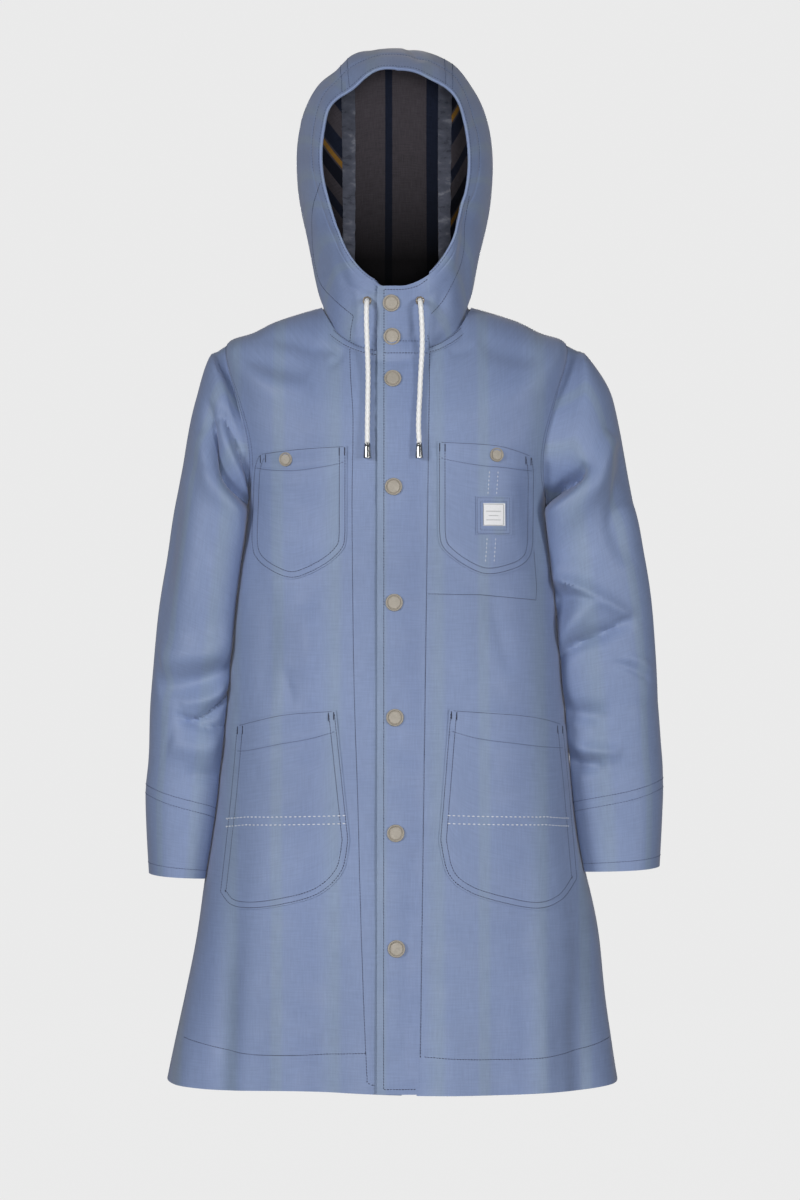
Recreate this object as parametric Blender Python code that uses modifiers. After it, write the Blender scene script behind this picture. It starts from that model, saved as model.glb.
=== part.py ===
"""Foul weather jacket: a hooded, knee-length coat of rubberised cloth.

The coat hangs by the loop inside its back neck, which is the origin. +Z is up, -Y is the front,
and +X is the wearer's left. Sizes in the tables are millimetres; MM turns them into metres.
Cloth pieces are thin closed shells that stand a small gap apart. The hood tips back about an axis
through the neck, the sleeves rise about the shoulder points, the overlapping placket strip folds
open about its stitch line, and the two cord ends swing from their eyelets.
"""
import math

import bmesh
import bpy
import numpy as np
from mathutils import Vector
from mathutils.bvhtree import BVHTree

MM = 0.001

# ---- Driving dimensions, in millimetres -------------------------------------------------------
CLOTH = 1.2  # rubberised cloth with its woven backing
LINING = 0.8  # a facing, tape or bag
GAP = 0.5  # left between neighbouring pieces
INNER_DEPTH = 4.2  # how far inside the outer face a facing or tape lies
SQUARE = 0.77  # exponent of the body's rounded-rectangle section
RIDGE = 1.6  # how roundly a loop passes over the shoulder

# Body loops from the neck seam to the hem: front centre y, z; side x, y, z; back centre y, z.
NECK, SHOULDER, ARMPIT, HEM = 0, 3, 7, 14
BODY = [
    (-190, -58, 88, -95, -6, 9, 4),
    (-196, -80, 125, -95, -17, 14, -20),
    (-202, -104, 163, -95, -30, 20, -48),
    (-207, -130, 200, -95, -44, 25, -82),
    (-210, -158, 196, -97, -95, 29, -120),
    (-213, -186, 188, -99, -150, 32, -160),
    (-215, -212, 180, -100, -200, 32, -200),
    (-217, -237, 176, -100, -237, 31, -237),
    (-227, -345, 189, -100, -345, 27, -345),
    (-240, -463, 199, -100, -463, 28, -463),
    (-250, -581, 210, -100, -581, 36, -581),
    (-259, -675, 223, -100, -675, 46, -675),
    (-267, -758, 234, -100, -758, 54, -758),
    (-277, -865, 256, -100, -865, 66, -865),
    (-281, -905, 264, -100, -905, 70, -905),
]
ARMHOLE_BITE = 25  # degrees that the armhole cuts into the body's loops
NECK_BAND_TURN, NECK_BAND_OUT = 1.2, 0.9

# Sleeve sections from the armhole to the cuff edge: outer x, z; inner x, z; half depth.
SLEEVE_Y = -100
SLEEVE = [
    (222, -58, 181, -244, 70),
    (241, -96, 186, -258, 74),
    (255, -150, 187, -280, 75),
    (266, -215, 190, -310, 74),
    (276, -274, 193, -348, 72),
    (286, -333, 197, -394, 69),
    (293, -398, 201, -444, 66),
    (299, -463, 206, -496, 63),
    (302, -522, 210, -542, 61),
    (305, -568, 217, -602, 59),
    (304, -612, 221, -636, 58),
    (301, -668, 227, -673, 58),
]
CUFF_START = 9  # the section where the cuff band is sewn on

# Hood loops from the face opening to the neck seam, each from the chin to the crown:
# chin y, z; crown y, z; half width; how far the widest place sits towards the crown.
HOOD = [
    (-182, 19, -212, 266, 88, 0.15),
    (-183, 11, -165, 291, 100, 0.15),
    (-184, 4, -110, 304, 110, 0.17),
    (-184, -4, -55, 301, 116, 0.18),
    (-185, -12, -5, 272, 117, 0.16),
    (-186, -20, 35, 228, 116, 0.12),
    (-187, -27, 56, 180, 113, 0.08),
    (-188, -35, 62, 130, 108, 0.04),
    (-188, -43, 57, 80, 101, 0.0),
    (-189, -50, 40, 38, 94, 0.0),
    (-190, -58, 9, 4, 88, 0.0),
]
HOOD_LAST = len(HOOD) - 1
HOOD_ROUND = 0.9
NECK_LIFT = 23
COLLAR_TOP, HOOD_FOOT = 46, 59  # the hood base ends and the moving hood starts
HOOD_PIVOT = (0, -100, 20)
HOOD_MIDDLE = (0, -120, 130)
BRIM_WIDE = 1.0  # how many hood loops the brim facing reaches back
BRIM_CORD_AT, BRIM_CORD_R = 0.45, 2.6
SEAM_X = 60  # hood seams, either side of the centre
TAPE_DEPTH, BRIM_CORD_DEPTH, BRIM_DEPTH = 2.6, 5.2, 9.2  # inside the hood's outer face

# The front closing, across the body at x and down it at z.
STRIP_FREE, STRIP_HINGE = -22, 38
STRIP_TOP, STRIP_FOOT = 18, -903
HINGE_X_AT_HEM = 25
# The line that the closing strip folds about: its top, and its foot is at (25, -290, -903).
STRIP_AXIS_TOP = (38, -191.5, 18)
UNDERLAP = (-42, 30)
UNDERLAP_TAPER = 10  # narrower at the hem
SNAP_X = (-6, 0)  # at the top snap and at the bottom one
SNAP_Z = (-2, -41, -90, -215, -348, -479, -610, -740)
# Depths behind the coat's outer face of the layers at the closing.
DEPTH_STRIP, DEPTH_STRIP_FACING, DEPTH_STUD, DEPTH_UNDERLAP = 0.0, 1.8, 3.4, 5.0
CAP_R, CAP_H, STUD_R, STUD_H = 10.0, 2.6, 7.0, 0.8
HARDWARE_OUT = 0.8  # between a snap cap or eyelet and the cloth's outer face
POCKET_CAP_R = 8.2

EYELETS = {"left": (27, 1), "right": (-34, 1)}
EYELET_R, EYELET_HOLE_R, EYELET_H = 5.25, 3.3, 1.4
CORD_R = 3.0
BELL_LENGTH = 17

# Patch pockets as seen from the front: the mouth from its inner to its outer end, then the
# bottom edge's inner corner, point and outer corner.
POCKETS = {
    "chest_pocket_right": [(-57, -172), (-170, -178), (-57, -280), (-118, -322), (-168, -280)],
    "chest_pocket_left": [(47, -165), (156, -178), (47, -278), (102, -317), (156, -280)],
    "hip_pocket_right": [(-68, -470), (-187, -491), (-58, -655), (-169, -697), (-207, -680)],
    "hip_pocket_left": [(60, -470), (198, -492), (53, -655), (162, -698), (217, -682)],
}
POCKET_SNAPS = {"right": (-126, -183), "left": (114, -178)}
POCKET_OUT = 1.8  # an empty pocket lies this far off the panel
LABEL_PATCH = (90, 131, -271, -226)
LABEL = (98, 123, -261, -234)

COLOURS = {
    "coated_cloth": ((0.235, 0.275, 0.42), 0.45, 0.0),
    "inner_cloth": ((0.03, 0.028, 0.033), 0.7, 0.0),
    "seam_tape": ((0.06, 0.065, 0.085), 0.4, 0.0),
    "snap_metal": ((0.5, 0.45, 0.38), 0.45, 0.7),
    "bell_metal": ((0.72, 0.72, 0.72), 0.18, 1.0),
    "cord_white": ((0.76, 0.77, 0.77), 0.7, 0.0),
    "label_cloth": ((0.75, 0.75, 0.73), 0.7, 0.0),
}


# Places inside the coat's parts, which their outer faces look away from.
INSIDE_COAT, INSIDE_HOOD, INSIDE_HEM = (0, -100, -450), (0, -70, 120), (0, -100, -890)


# ---- Scene, materials and objects ---------------------------------------------------------------
def clear_scene():
    for old in list(bpy.data.objects):
        bpy.data.objects.remove(old, do_unlink=True)


def collection(name):
    made = bpy.data.collections.new(name)
    bpy.context.scene.collection.children.link(made)
    return made


def material(name):
    colour, rough, metal = COLOURS[name]
    made = bpy.data.materials.new(name)
    made.use_nodes = True
    shader = made.node_tree.nodes["Principled BSDF"]
    shader.inputs["Base Color"].default_value = (*colour, 1)
    shader.inputs["Roughness"].default_value = rough
    shader.inputs["Metallic"].default_value = metal
    return made


def add(name, data, slot, smooth=True):
    """A new object for mesh or curve data whose coordinates are already in metres."""
    made = bpy.data.objects.new(name, data)
    data.materials.append(MATERIALS[slot])
    COAT.objects.link(made)
    if smooth and isinstance(data, bpy.types.Mesh):
        data.shade_smooth()
        data.set_sharp_from_angle(angle=math.radians(40))
    return made


def centred(thing, pivot):
    """Moves an object's origin to its joint's axis, without moving its shape."""
    at = Vector(pivot) * MM
    for vertex in thing.data.vertices:
        vertex.co -= at
    thing.location = at
    return thing


def skin(name, mesh, thick, slot):
    """A shell: the open surface with cloth of that thickness behind it."""
    made = add(name, mesh, slot)
    solid = made.modifiers.new("cloth", "SOLIDIFY")
    solid.thickness = thick * MM
    solid.offset = -1
    solid.use_even_offset = True
    return made


def grid_mesh(name, rows, inside, closed=False, depth=0.0):
    """A surface through rows of points, facing away from the point inside.

    depth moves it inwards along its normals, for a layer behind another one.
    """
    rows = np.asarray(rows, float)
    across = rows.shape[1]
    built = bmesh.new()
    verts = [[built.verts.new(Vector(p) * MM) for p in row] for row in rows]
    for upper, lower in zip(verts, verts[1:]):
        for k in range(across if closed else across - 1):
            nxt = (k + 1) % across
            built.faces.new((upper[k], upper[nxt], lower[nxt], lower[k]))
    return finish_surface(name, built, inside, depth)


def finish_surface(name, built, inside, depth=0.0):
    built.normal_update()
    middle = Vector(inside) * MM
    out = sum(f.normal.dot(f.calc_center_median() - middle) for f in built.faces)
    if out < 0:
        bmesh.ops.reverse_faces(built, faces=built.faces)
    built.normal_update()
    if depth:
        moves = [v.normal * -depth * MM for v in built.verts]
        for vertex, move in zip(built.verts, moves):
            vertex.co += move
    mesh = bpy.data.meshes.new(name)
    built.to_mesh(mesh)
    built.free()
    return mesh


# ---- Curves through the tables ------------------------------------------------------------------
def along(table, t):
    """The table's row at t, on a smooth curve that passes through row k at t = k."""
    rows = np.asarray(table, float)
    k = int(min(max(math.floor(t), 0), len(rows) - 2))
    f = t - k
    before, a, b, after = rows[max(k - 1, 0)], rows[k], rows[k + 1], rows[min(k + 2, len(rows) - 1)]
    slope_a, slope_b = (b - before) / 2, (after - a) / 2
    return (
        (2 * f**3 - 3 * f**2 + 1) * a
        + (f**3 - 2 * f**2 + f) * slope_a
        + (3 * f**2 - 2 * f**3) * b
        + (f**3 - f**2) * slope_b
    )


def signed_power(value, power):
    return np.sign(value) * np.abs(value) ** power


def body_point(u, angle):
    """Points of the coat's outer face: u counts loops down from the neck, and angle runs from
    0 at the front centre over 90 degrees at the wearer's left side to 180 at the back."""
    front_y, front_z, side_x, side_y, side_z, back_y, back_z = along(BODY, u)
    angle = np.asarray(angle, float)
    c = np.cos(angle)
    share = np.abs(c) ** SQUARE
    end_y = np.where(c >= 0, front_y, back_y)
    end_z = np.where(c >= 0, front_z, back_z)
    x = side_x * signed_power(np.sin(angle), SQUARE)
    y = side_y + (end_y - side_y) * share
    z = side_z + (end_z - side_z) * np.abs(c) ** RIDGE
    return np.stack([x, y, z], axis=-1)


def spread_evenly(curve, start, end, count, trim=GAP / 2):
    """count points of curve(angle), at equal steps along it, trimmed at both ends."""
    angles = np.linspace(start, end, 160)
    steps = np.linalg.norm(np.diff(curve(angles), axis=0), axis=1)
    walked = np.concatenate([[0], np.cumsum(steps)])
    wanted = np.linspace(trim, walked[-1] - trim, count)
    return curve(np.interp(wanted, walked, angles))


def body_angle_at(u, x):
    side_x = along(BODY, u)[2]
    return math.copysign(math.asin(min(1, abs(x) / side_x) ** (1 / SQUARE)), x)


def side_angle(u):
    """Where a panel ends at the side: the side seam, the shoulder seam or the armhole."""
    share = (u - SHOULDER) / (ARMPIT - SHOULDER)
    bite = ARMHOLE_BITE * math.sin(math.pi * share) ** 0.8 if 0 < share < 1 else 0
    return math.radians(90 - bite)


def plain_hood(v, angle):
    chin_y, chin_z, crown_y, crown_z, half, high = along(HOOD, v)
    share = (1 - np.cos(angle)) / 2
    turn = np.abs(np.sin(angle))
    x = np.sign(angle) * half * turn**HOOD_ROUND * (1 - high * np.cos(angle))
    y = chin_y + (crown_y - chin_y) * share
    z = chin_z + (crown_z - chin_z) * share + NECK_LIFT * (v / HOOD_LAST) ** 3 * turn**2
    return np.stack([x, y, z], axis=-1)


def hood_point(v, angle):
    """Points of the hood's outer face: v counts loops back from the face opening, and angle
    runs from 0 at the chin to 180 degrees at the crown, positive on the wearer's left.
    The last loops settle onto the coat's neck seam."""
    angle = np.asarray(angle, float)
    settle = max(0, (v - HOOD_LAST + 4) / 4) ** 2
    miss = body_point(NECK, angle) - plain_hood(HOOD_LAST, angle)
    return plain_hood(v, angle) + settle * miss


# ---- The coat's outer face as one surface, for what is sewn onto it -------------------------------
def coat_face():
    """A tree for finding places on the outer face of the front and the hood base."""
    turn = np.linspace(-math.pi, math.pi, 81)
    body = [body_point(u, turn) for u in np.linspace(NECK, HEM, 57)]
    hood = [hood_point(v, turn) for v in np.linspace(0, HOOD_LAST, 41)]
    points, faces = [], []
    for rows in (hood, body):
        start = len(points)
        points += [Vector(p) * MM for row in rows for p in row]
        wide = len(turn)
        for r in range(len(rows) - 1):
            for k in range(wide - 1):
                a = start + r * wide + k
                faces.append((a, a + wide, a + wide + 1, a + 1))
    return BVHTree.FromPolygons(points, faces)


def on_front(x, z, out=0.0):
    """The place on the coat's front at x, z, moved out of it by that distance, in millimetres."""
    place, normal, _, _ = FACE.ray_cast(Vector((x * MM, -1, z * MM)), Vector((0, 1, 0)))
    if normal.y > 0:
        normal = -normal
    return np.array((place + normal * out * MM) / MM)


def front_normal(x, z, reach=6):
    """Straight out of the coat's front at x, z, over a patch of that half size."""
    across = on_front(x + reach, z) - on_front(x - reach, z)
    up = on_front(x, z + reach) - on_front(x, z - reach)
    out = np.cross(across, up)
    out *= -np.sign(out[1])
    return out / np.linalg.norm(out)


def strip_share(z):
    """How far down the closing strip a height is, from 0 at its top to 1 at its foot."""
    return (STRIP_TOP - z) / (STRIP_TOP - STRIP_FOOT)


def hinge_x(z):
    return STRIP_HINGE + (HINGE_X_AT_HEM - STRIP_HINGE) * strip_share(z)


# ---- Body panels ----------------------------------------------------------------------------------
PANEL_ROWS = [0.06, 1, 2, 3, 3.35, 3.8, 4.4, 5, 5.6, 6.2, 6.7, 7, 8, 9, 10, 11, 12, 13, 14]


def front_panel(side):
    sign = 1 if side == "left" else -1
    rows = []
    for u in PANEL_ROWS:
        z = along(BODY, u)[1]
        edge = hinge_x(z) + GAP if sign > 0 else STRIP_FREE - 1.5
        rows.append(
            spread_evenly(
                lambda a, u=u: body_point(u, a), body_angle_at(u, edge), sign * side_angle(u), 10
            )
        )
    mesh = grid_mesh(f"front_panel_{side}", rows, INSIDE_COAT)
    return skin(f"front_panel_{side}", mesh, CLOTH, "coated_cloth")


def back_panel():
    rows = []
    for u in PANEL_ROWS:
        start, end = math.pi - side_angle(u), math.pi + side_angle(u)
        rows.append(spread_evenly(lambda a, u=u: body_point(u, a), start, end, 16))
    mesh = grid_mesh("back_panel", rows, INSIDE_COAT)
    return skin("back_panel", mesh, CLOTH, "coated_cloth")


def hem_facing():
    """The turned-up hem: a band inside the hem, open at the front closing."""
    rows = []
    for u in (HEM - 0.95, HEM - 0.1):
        start = body_angle_at(u, HINGE_X_AT_HEM + 12)
        end = 2 * math.pi + body_angle_at(u, UNDERLAP[0] - 8)
        rows.append(spread_evenly(lambda a, u=u: body_point(u, a), start, end, 33))
    mesh = grid_mesh("hem_facing", rows, INSIDE_HEM, depth=INNER_DEPTH)
    return skin("hem_facing", mesh, LINING, "coated_cloth")


def side_tape(side):
    """The sealing tape inside a side seam."""
    middle = math.radians(90 if side == "left" else 270)
    rows = []
    for u in np.linspace(ARMPIT + 0.3, HEM - 1.1, 9):
        rows.append([body_point(u, middle + turn) for turn in (-0.035, 0, 0.035)])
    mesh = grid_mesh(f"side_seam_tape_{side}", rows, INSIDE_COAT, depth=INNER_DEPTH)
    return skin(f"side_seam_tape_{side}", mesh, LINING, "seam_tape")


def neck_band(side):
    """One half of the narrow band sewn over the neck seam, across the front of the coat."""
    if side == "left":
        start, end = body_angle_at(NECK, hinge_x(BODY[NECK][1]) + 2 * GAP), NECK_BAND_TURN
    else:
        start, end = -NECK_BAND_TURN, body_angle_at(NECK, STRIP_FREE - 2)
    rows = [
        spread_evenly(lambda a, u=u: body_point(u, a), start, end, 10) for u in (0.08, 0.2, 0.32)
    ]
    mesh = grid_mesh(f"neck_band_{side}", rows, INSIDE_COAT, depth=-(LINING + NECK_BAND_OUT))
    return skin(f"neck_band_{side}", mesh, LINING, "coated_cloth")


# ---- Sleeves --------------------------------------------------------------------------------------
def armhole_loop(side):
    """The edge of the armhole, from the shoulder point down the front, up the back."""
    sign = 1 if side == "left" else -1

    def place(turn):
        points = []
        for t in np.atleast_1d(turn):
            front = t <= math.pi
            share = (t if front else 2 * math.pi - t) / math.pi
            u = SHOULDER + (ARMPIT - SHOULDER) * share
            angle = side_angle(u) if front else math.pi - side_angle(u)
            points.append(body_point(u, sign * angle) + (sign * 2.2 * GAP, 0, 0))
        return np.array(points)

    return place


def sleeve_loop(side, v):
    sign = 1 if side == "left" else -1
    out_x, out_z, in_x, in_z, deep = along(SLEEVE, v)

    def place(turn):
        turn = np.atleast_1d(turn)
        c, s = np.cos(turn), np.sin(turn)
        x = (out_x + in_x) / 2 + (out_x - in_x) / 2 * c
        z = (out_z + in_z) / 2 + (out_z - in_z) / 2 * c
        return np.stack([sign * x, SLEEVE_Y - deep * s, z], axis=-1)

    return place


AROUND = np.linspace(0, 2 * math.pi, 19)[:-1]


def sleeve(side):
    armhole = armhole_loop(side)(AROUND)
    first = sleeve_loop(side, 0)(AROUND)
    rows = [armhole, armhole * 0.45 + first * 0.55, first]
    rows += [sleeve_loop(side, v)(AROUND) for v in range(1, CUFF_START)]
    rows.append(sleeve_loop(side, CUFF_START - 0.02)(AROUND))
    return closed_tube(f"sleeve_{side}", side, rows, CLOTH)


def cuff(side):
    rows = [sleeve_loop(side, v)(AROUND) for v in (CUFF_START, CUFF_START + 1, CUFF_START + 2)]
    return closed_tube(f"cuff_{side}", side, rows, CLOTH)


def closed_tube(name, side, rows, thick):
    """A tube of cloth round the arm; each face points away from the middle of its own loop."""
    mesh = grid_mesh(name, rows, (0, SLEEVE_Y, 0), closed=True)
    built = bmesh.new()
    built.from_mesh(mesh)
    middles = [np.mean(row, axis=0) for row in rows]
    out = 0.0
    for face in built.faces:
        at = face.calc_center_median()
        middle = min(middles, key=lambda m: (Vector(m) * MM - at).length)
        out += face.normal.dot(at - Vector(middle) * MM)
    if out < 0:
        bmesh.ops.reverse_faces(built, faces=built.faces)
    built.to_mesh(mesh)
    built.free()
    return centred(skin(name, mesh, thick, "coated_cloth"), shoulder_pivot(side))


def shoulder_pivot(side):
    _, _, x, y, z, _, _ = BODY[SHOULDER]
    return (x if side == "left" else -x, y, z)


# ---- Hood -------------------------------------------------------------------------------------------
def hood_surface(name, keep, v_range=(0, HOOD_LAST), depth=0.0, rows=13):
    """The part of the hood's face that lies on the kept side of every plane in keep.

    A plane is a point and the direction that is kept.
    """
    turn = np.linspace(-math.pi, math.pi, 33)[:-1]
    loops = [hood_point(v, turn) for v in np.linspace(*v_range, rows)]
    built = bmesh.new()
    built.from_mesh(grid_mesh(name, loops, INSIDE_HOOD, closed=True, depth=depth))
    for point, kept in keep:
        parts = built.verts[:] + built.edges[:] + built.faces[:]
        bmesh.ops.bisect_plane(
            built,
            geom=parts,
            plane_co=Vector(point) * MM,
            plane_no=Vector(kept),
            clear_inner=True,
            dist=1e-6,
        )
    return finish_surface(name, built, INSIDE_HOOD)


def seam_plane(sign, offset):
    """The plane of a hood seam: nearly upright, and a little closer together at the nape."""
    return ((sign * (SEAM_X + offset), 0, 200), (sign, 0, -0.04))


def flipped(plane):
    point, direction = plane
    return (point, tuple(-d for d in direction))


ABOVE_FOOT = ((0, 0, HOOD_FOOT), (0, 0, 1))
BELOW_TOP = ((0, 0, COLLAR_TOP), (0, 0, -1))
BEHIND_BRIM = ((0, -150, 0), (0, 1, 0))


def hood_panels():
    made = []
    inner = [flipped(seam_plane(1, -GAP)), flipped(seam_plane(-1, -GAP)), ABOVE_FOOT]
    mesh = hood_surface("hood_centre_panel", inner)
    made.append(skin("hood_centre_panel", mesh, CLOTH, "coated_cloth"))
    for side, sign in (("left", 1), ("right", -1)):
        name = f"hood_side_panel_{side}"
        keep = [seam_plane(sign, GAP), ABOVE_FOOT]
        made.append(skin(name, hood_surface(name, keep), CLOTH, "coated_cloth"))
        name = f"hood_seam_tape_{side}"
        keep = [seam_plane(sign, -9), flipped(seam_plane(sign, 9)), ABOVE_FOOT, BEHIND_BRIM]
        mesh = hood_surface(name, keep, depth=TAPE_DEPTH)
        made.append(skin(name, mesh, LINING, "seam_tape"))
    above = [((0, 0, HOOD_FOOT + 4), (0, 0, 1))]
    mesh = hood_surface("hood_brim_facing", above, (0, BRIM_WIDE), depth=BRIM_DEPTH, rows=3)
    made.append(skin("hood_brim_facing", mesh, LINING, "coated_cloth"))
    return [centred(piece, HOOD_PIVOT) for piece in made]


def hood_drawcord():
    """The stretch of the drawcord that runs in the brim, between the shell and its facing."""
    line = []
    for angle in np.linspace(0.3, 2 * math.pi - 0.3, 49):
        turn = angle if angle <= math.pi else angle - 2 * math.pi
        here = hood_point(BRIM_CORD_AT, turn)
        back = hood_point(BRIM_CORD_AT + 0.05, turn) - here
        side = hood_point(BRIM_CORD_AT, turn + 0.01) - here
        normal = np.cross(side, back)
        normal /= np.linalg.norm(normal)
        if normal.dot(here - HOOD_MIDDLE) < 0:
            normal = -normal
        line.append(here - normal * BRIM_CORD_DEPTH)
    line = [point for point in line if point[2] > HOOD_FOOT + 6]
    return tube("hood_drawcord", line, BRIM_CORD_R, "cord_white")


def hood_base():
    """The foot of the hood, which stands up as a collar; its front is cut out for the closing."""
    mesh = hood_surface("hood_base", [BELOW_TOP], (0, HOOD_LAST - 0.08), rows=7)
    made = skin("hood_base", mesh, CLOTH, "coated_cloth")
    low, high = STRIP_FREE - 1.5, hinge_x(0) + GAP
    bpy.ops.mesh.primitive_cube_add(size=1)
    cutter = bpy.context.object
    cutter.name = "closing_cutter"
    cutter.dimensions = ((high - low) * MM, 60 * MM, 110 * MM)
    cutter.location = ((high + low) / 2 * MM, -180 * MM, -30 * MM)
    cutter.hide_render = True
    cutter.display_type = "WIRE"
    for other in cutter.users_collection:
        other.objects.unlink(cutter)
    CUTTERS.objects.link(cutter)
    cut = made.modifiers.new("closing", "BOOLEAN")
    cut.operation = "DIFFERENCE"
    cut.object = cutter
    return made


# ---- Front closing ------------------------------------------------------------------------------------
def strip_mesh(name, left_edge, right_edge, depth, across=4, foot=STRIP_FOOT):
    """A long strip that follows the coat's front, between edges given as functions of height."""
    heights = [*np.linspace(STRIP_TOP, -240, 13), *np.linspace(-340, foot, 7)]
    rows = []
    for z in heights:
        xs = np.linspace(left_edge(z), right_edge(z), across)
        rows.append([on_front(x, z, -depth) for x in xs])
    return grid_mesh(name, rows, INSIDE_COAT)


def closing_strip():
    mesh = strip_mesh("placket_strip", lambda z: STRIP_FREE, lambda z: hinge_x(z) - GAP, DEPTH_STRIP)
    outer = skin("placket_strip", mesh, CLOTH, "coated_cloth")
    mesh = strip_mesh(
        "placket_facing",
        lambda z: STRIP_FREE + 1,
        lambda z: hinge_x(z) - 2,
        DEPTH_STRIP_FACING,
        foot=STRIP_FOOT + 3,
    )
    facing = skin("placket_facing", mesh, LINING, "inner_cloth")
    mesh = strip_mesh(
        "underlap_facing",
        lambda z: UNDERLAP[0],
        lambda z: UNDERLAP[1] - UNDERLAP_TAPER * strip_share(z),
        DEPTH_UNDERLAP,
        across=5,
        foot=STRIP_FOOT + 3,
    )
    skin("underlap_facing", mesh, CLOTH, "coated_cloth")
    return [centred(piece, STRIP_AXIS_TOP) for piece in (outer, facing)]


def turned(name, profile, slot, segments, place, facing=(0, -1, 0)):
    """A turned piece: a profile of radius and height, closed on its axis, standing on place."""
    mesh = bpy.data.meshes.new(name)
    points = [(r * MM, 0, h * MM) for r, h in profile]
    mesh.from_pydata(points, [(k, k + 1) for k in range(len(points) - 1)], [])
    made = add(name, mesh, slot, smooth=False)
    spin = made.modifiers.new("spin", "SCREW")
    spin.steps = spin.render_steps = segments
    spin.use_merge_vertices = True
    spin.merge_threshold = 0.00005
    made.location = Vector(place) * MM
    made.rotation_mode = "QUATERNION"
    made.rotation_quaternion = Vector((0, 0, 1)).rotation_difference(Vector(facing))
    return made


def cap_profile(radius):
    """A snap cap: a rounded rim round a shallow ring groove, with a low dome in the middle."""
    return [
        (0, CAP_H * 0.85),
        (radius * 0.5, CAP_H * 0.8),
        (radius * 0.62, CAP_H * 0.55),
        (radius * 0.76, CAP_H),
        (radius * 0.94, CAP_H * 0.8),
        (radius, CAP_H * 0.25),
        (radius * 0.96, 0),
        (0, 0),
    ]


def stud_profile(radius):
    return [(0, STUD_H), (radius * 0.9, STUD_H), (radius, STUD_H * 0.4), (radius, 0), (0, 0)]


def front_snaps():
    for index, z in enumerate(SNAP_Z):
        share = index / (len(SNAP_Z) - 1)
        x = SNAP_X[0] + (SNAP_X[1] - SNAP_X[0]) * share
        out = front_normal(x, z)
        face = on_front(x, z)
        name = f"front_snap_cap_{index + 1}"
        turned(name, cap_profile(CAP_R), "snap_metal", 12, face + out * HARDWARE_OUT, out)
        name = f"front_snap_stud_{index + 1}"
        base = face - out * (DEPTH_STUD + STUD_H)
        turned(name, stud_profile(STUD_R), "snap_metal", 10, base, out)


# ---- Pockets, label and hardware ------------------------------------------------------------------------
def evenly(points, count):
    """count points at equal steps along a line of points."""
    points = np.asarray(points)
    walked = np.concatenate([[0], np.cumsum(np.linalg.norm(np.diff(points, axis=0), axis=1))])
    wanted = np.linspace(0, walked[-1], count)
    return np.stack([np.interp(wanted, walked, points[:, k]) for k in range(3)], axis=1)


def pocket(name):
    mouth_in, mouth_out, low_in, tip, low_out = [np.array(p, float) for p in POCKETS[name]]
    corner = abs((tip - low_in)[0]) / abs((low_out - low_in)[0])
    rows = []
    for t in np.linspace(0, 1, 7):
        row = []
        for s in np.linspace(0, 1, 40):
            top = mouth_in + (mouth_out - mouth_in) * s
            if s < corner:
                foot = low_in + (tip - low_in) * s / corner
            else:
                foot = tip + (low_out - tip) * (s - corner) / (1 - corner)
            x, z = top + (foot - top) * t
            row.append(on_front(x, z, POCKET_OUT + CLOTH))
        rows.append(evenly(row, 9))
    return skin(name, grid_mesh(name, rows, INSIDE_COAT), CLOTH, "coated_cloth")


def patch(name, frame, out, thick, slot):
    low_x, high_x, low_z, high_z = frame
    rows = [
        [on_front(x, z, out + thick) for x in np.linspace(low_x, high_x, 4)]
        for z in np.linspace(high_z, low_z, 4)
    ]
    return skin(name, grid_mesh(name, rows, INSIDE_COAT), thick, slot)


def pocket_snaps():
    for side, (x, z) in POCKET_SNAPS.items():
        out = front_normal(x, z)
        face = on_front(x, z) + out * (POCKET_OUT + CLOTH + HARDWARE_OUT)
        profile = cap_profile(POCKET_CAP_R)
        turned(f"pocket_snap_cap_{side}", profile, "snap_metal", 12, face, out)


def inner_pocket():
    """The flat bag that hangs inside the wearer's left chest."""
    rows = []
    for z in np.linspace(-190, -336, 6):
        rows.append([on_front(x, z, -5.0) for x in np.linspace(62, 150, 6)])
    mesh = grid_mesh("inner_pocket_bag", rows, INSIDE_COAT)
    return skin("inner_pocket_bag", mesh, CLOTH, "inner_cloth")


def hanger_loop():
    """A short tape inside the back neck, bowed forwards so that a hook goes behind it."""
    half, bow, tall, thick = 30, 3.2, 7, 1.5
    built = bmesh.new()
    xs = np.linspace(-half, half, 9)
    front = [(x, bow * (x / half) ** 2 - thick / 2) for x in xs]
    back = [(x, bow * (x / half) ** 2 + thick / 2) for x in xs]
    outline = front + back[::-1]
    face = built.faces.new([built.verts.new(Vector((x, y, 0)) * MM) for x, y in outline])
    raised = bmesh.ops.extrude_face_region(built, geom=[face])
    lifted = [v for v in raised["geom"] if isinstance(v, bmesh.types.BMVert)]
    bmesh.ops.translate(built, verts=lifted, vec=(0, 0, tall * MM))
    bmesh.ops.recalc_face_normals(built, faces=built.faces)
    mesh = bpy.data.meshes.new("hanger_loop")
    built.to_mesh(mesh)
    built.free()
    return add("hanger_loop", mesh, "seam_tape", smooth=False)


def tube(name, line, radius, slot, resolution=2):
    curve = bpy.data.curves.new(name, "CURVE")
    curve.dimensions = "3D"
    curve.bevel_depth = radius * MM
    curve.bevel_resolution = resolution
    curve.use_fill_caps = True
    spline = curve.splines.new("POLY")
    spline.points.add(len(line) - 1)
    for point, place in zip(spline.points, line):
        point.co = (*(Vector(place) * MM), 1)
    made = bpy.data.objects.new(name, curve)
    curve.materials.append(MATERIALS[slot])
    COAT.objects.link(made)
    return made


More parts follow.
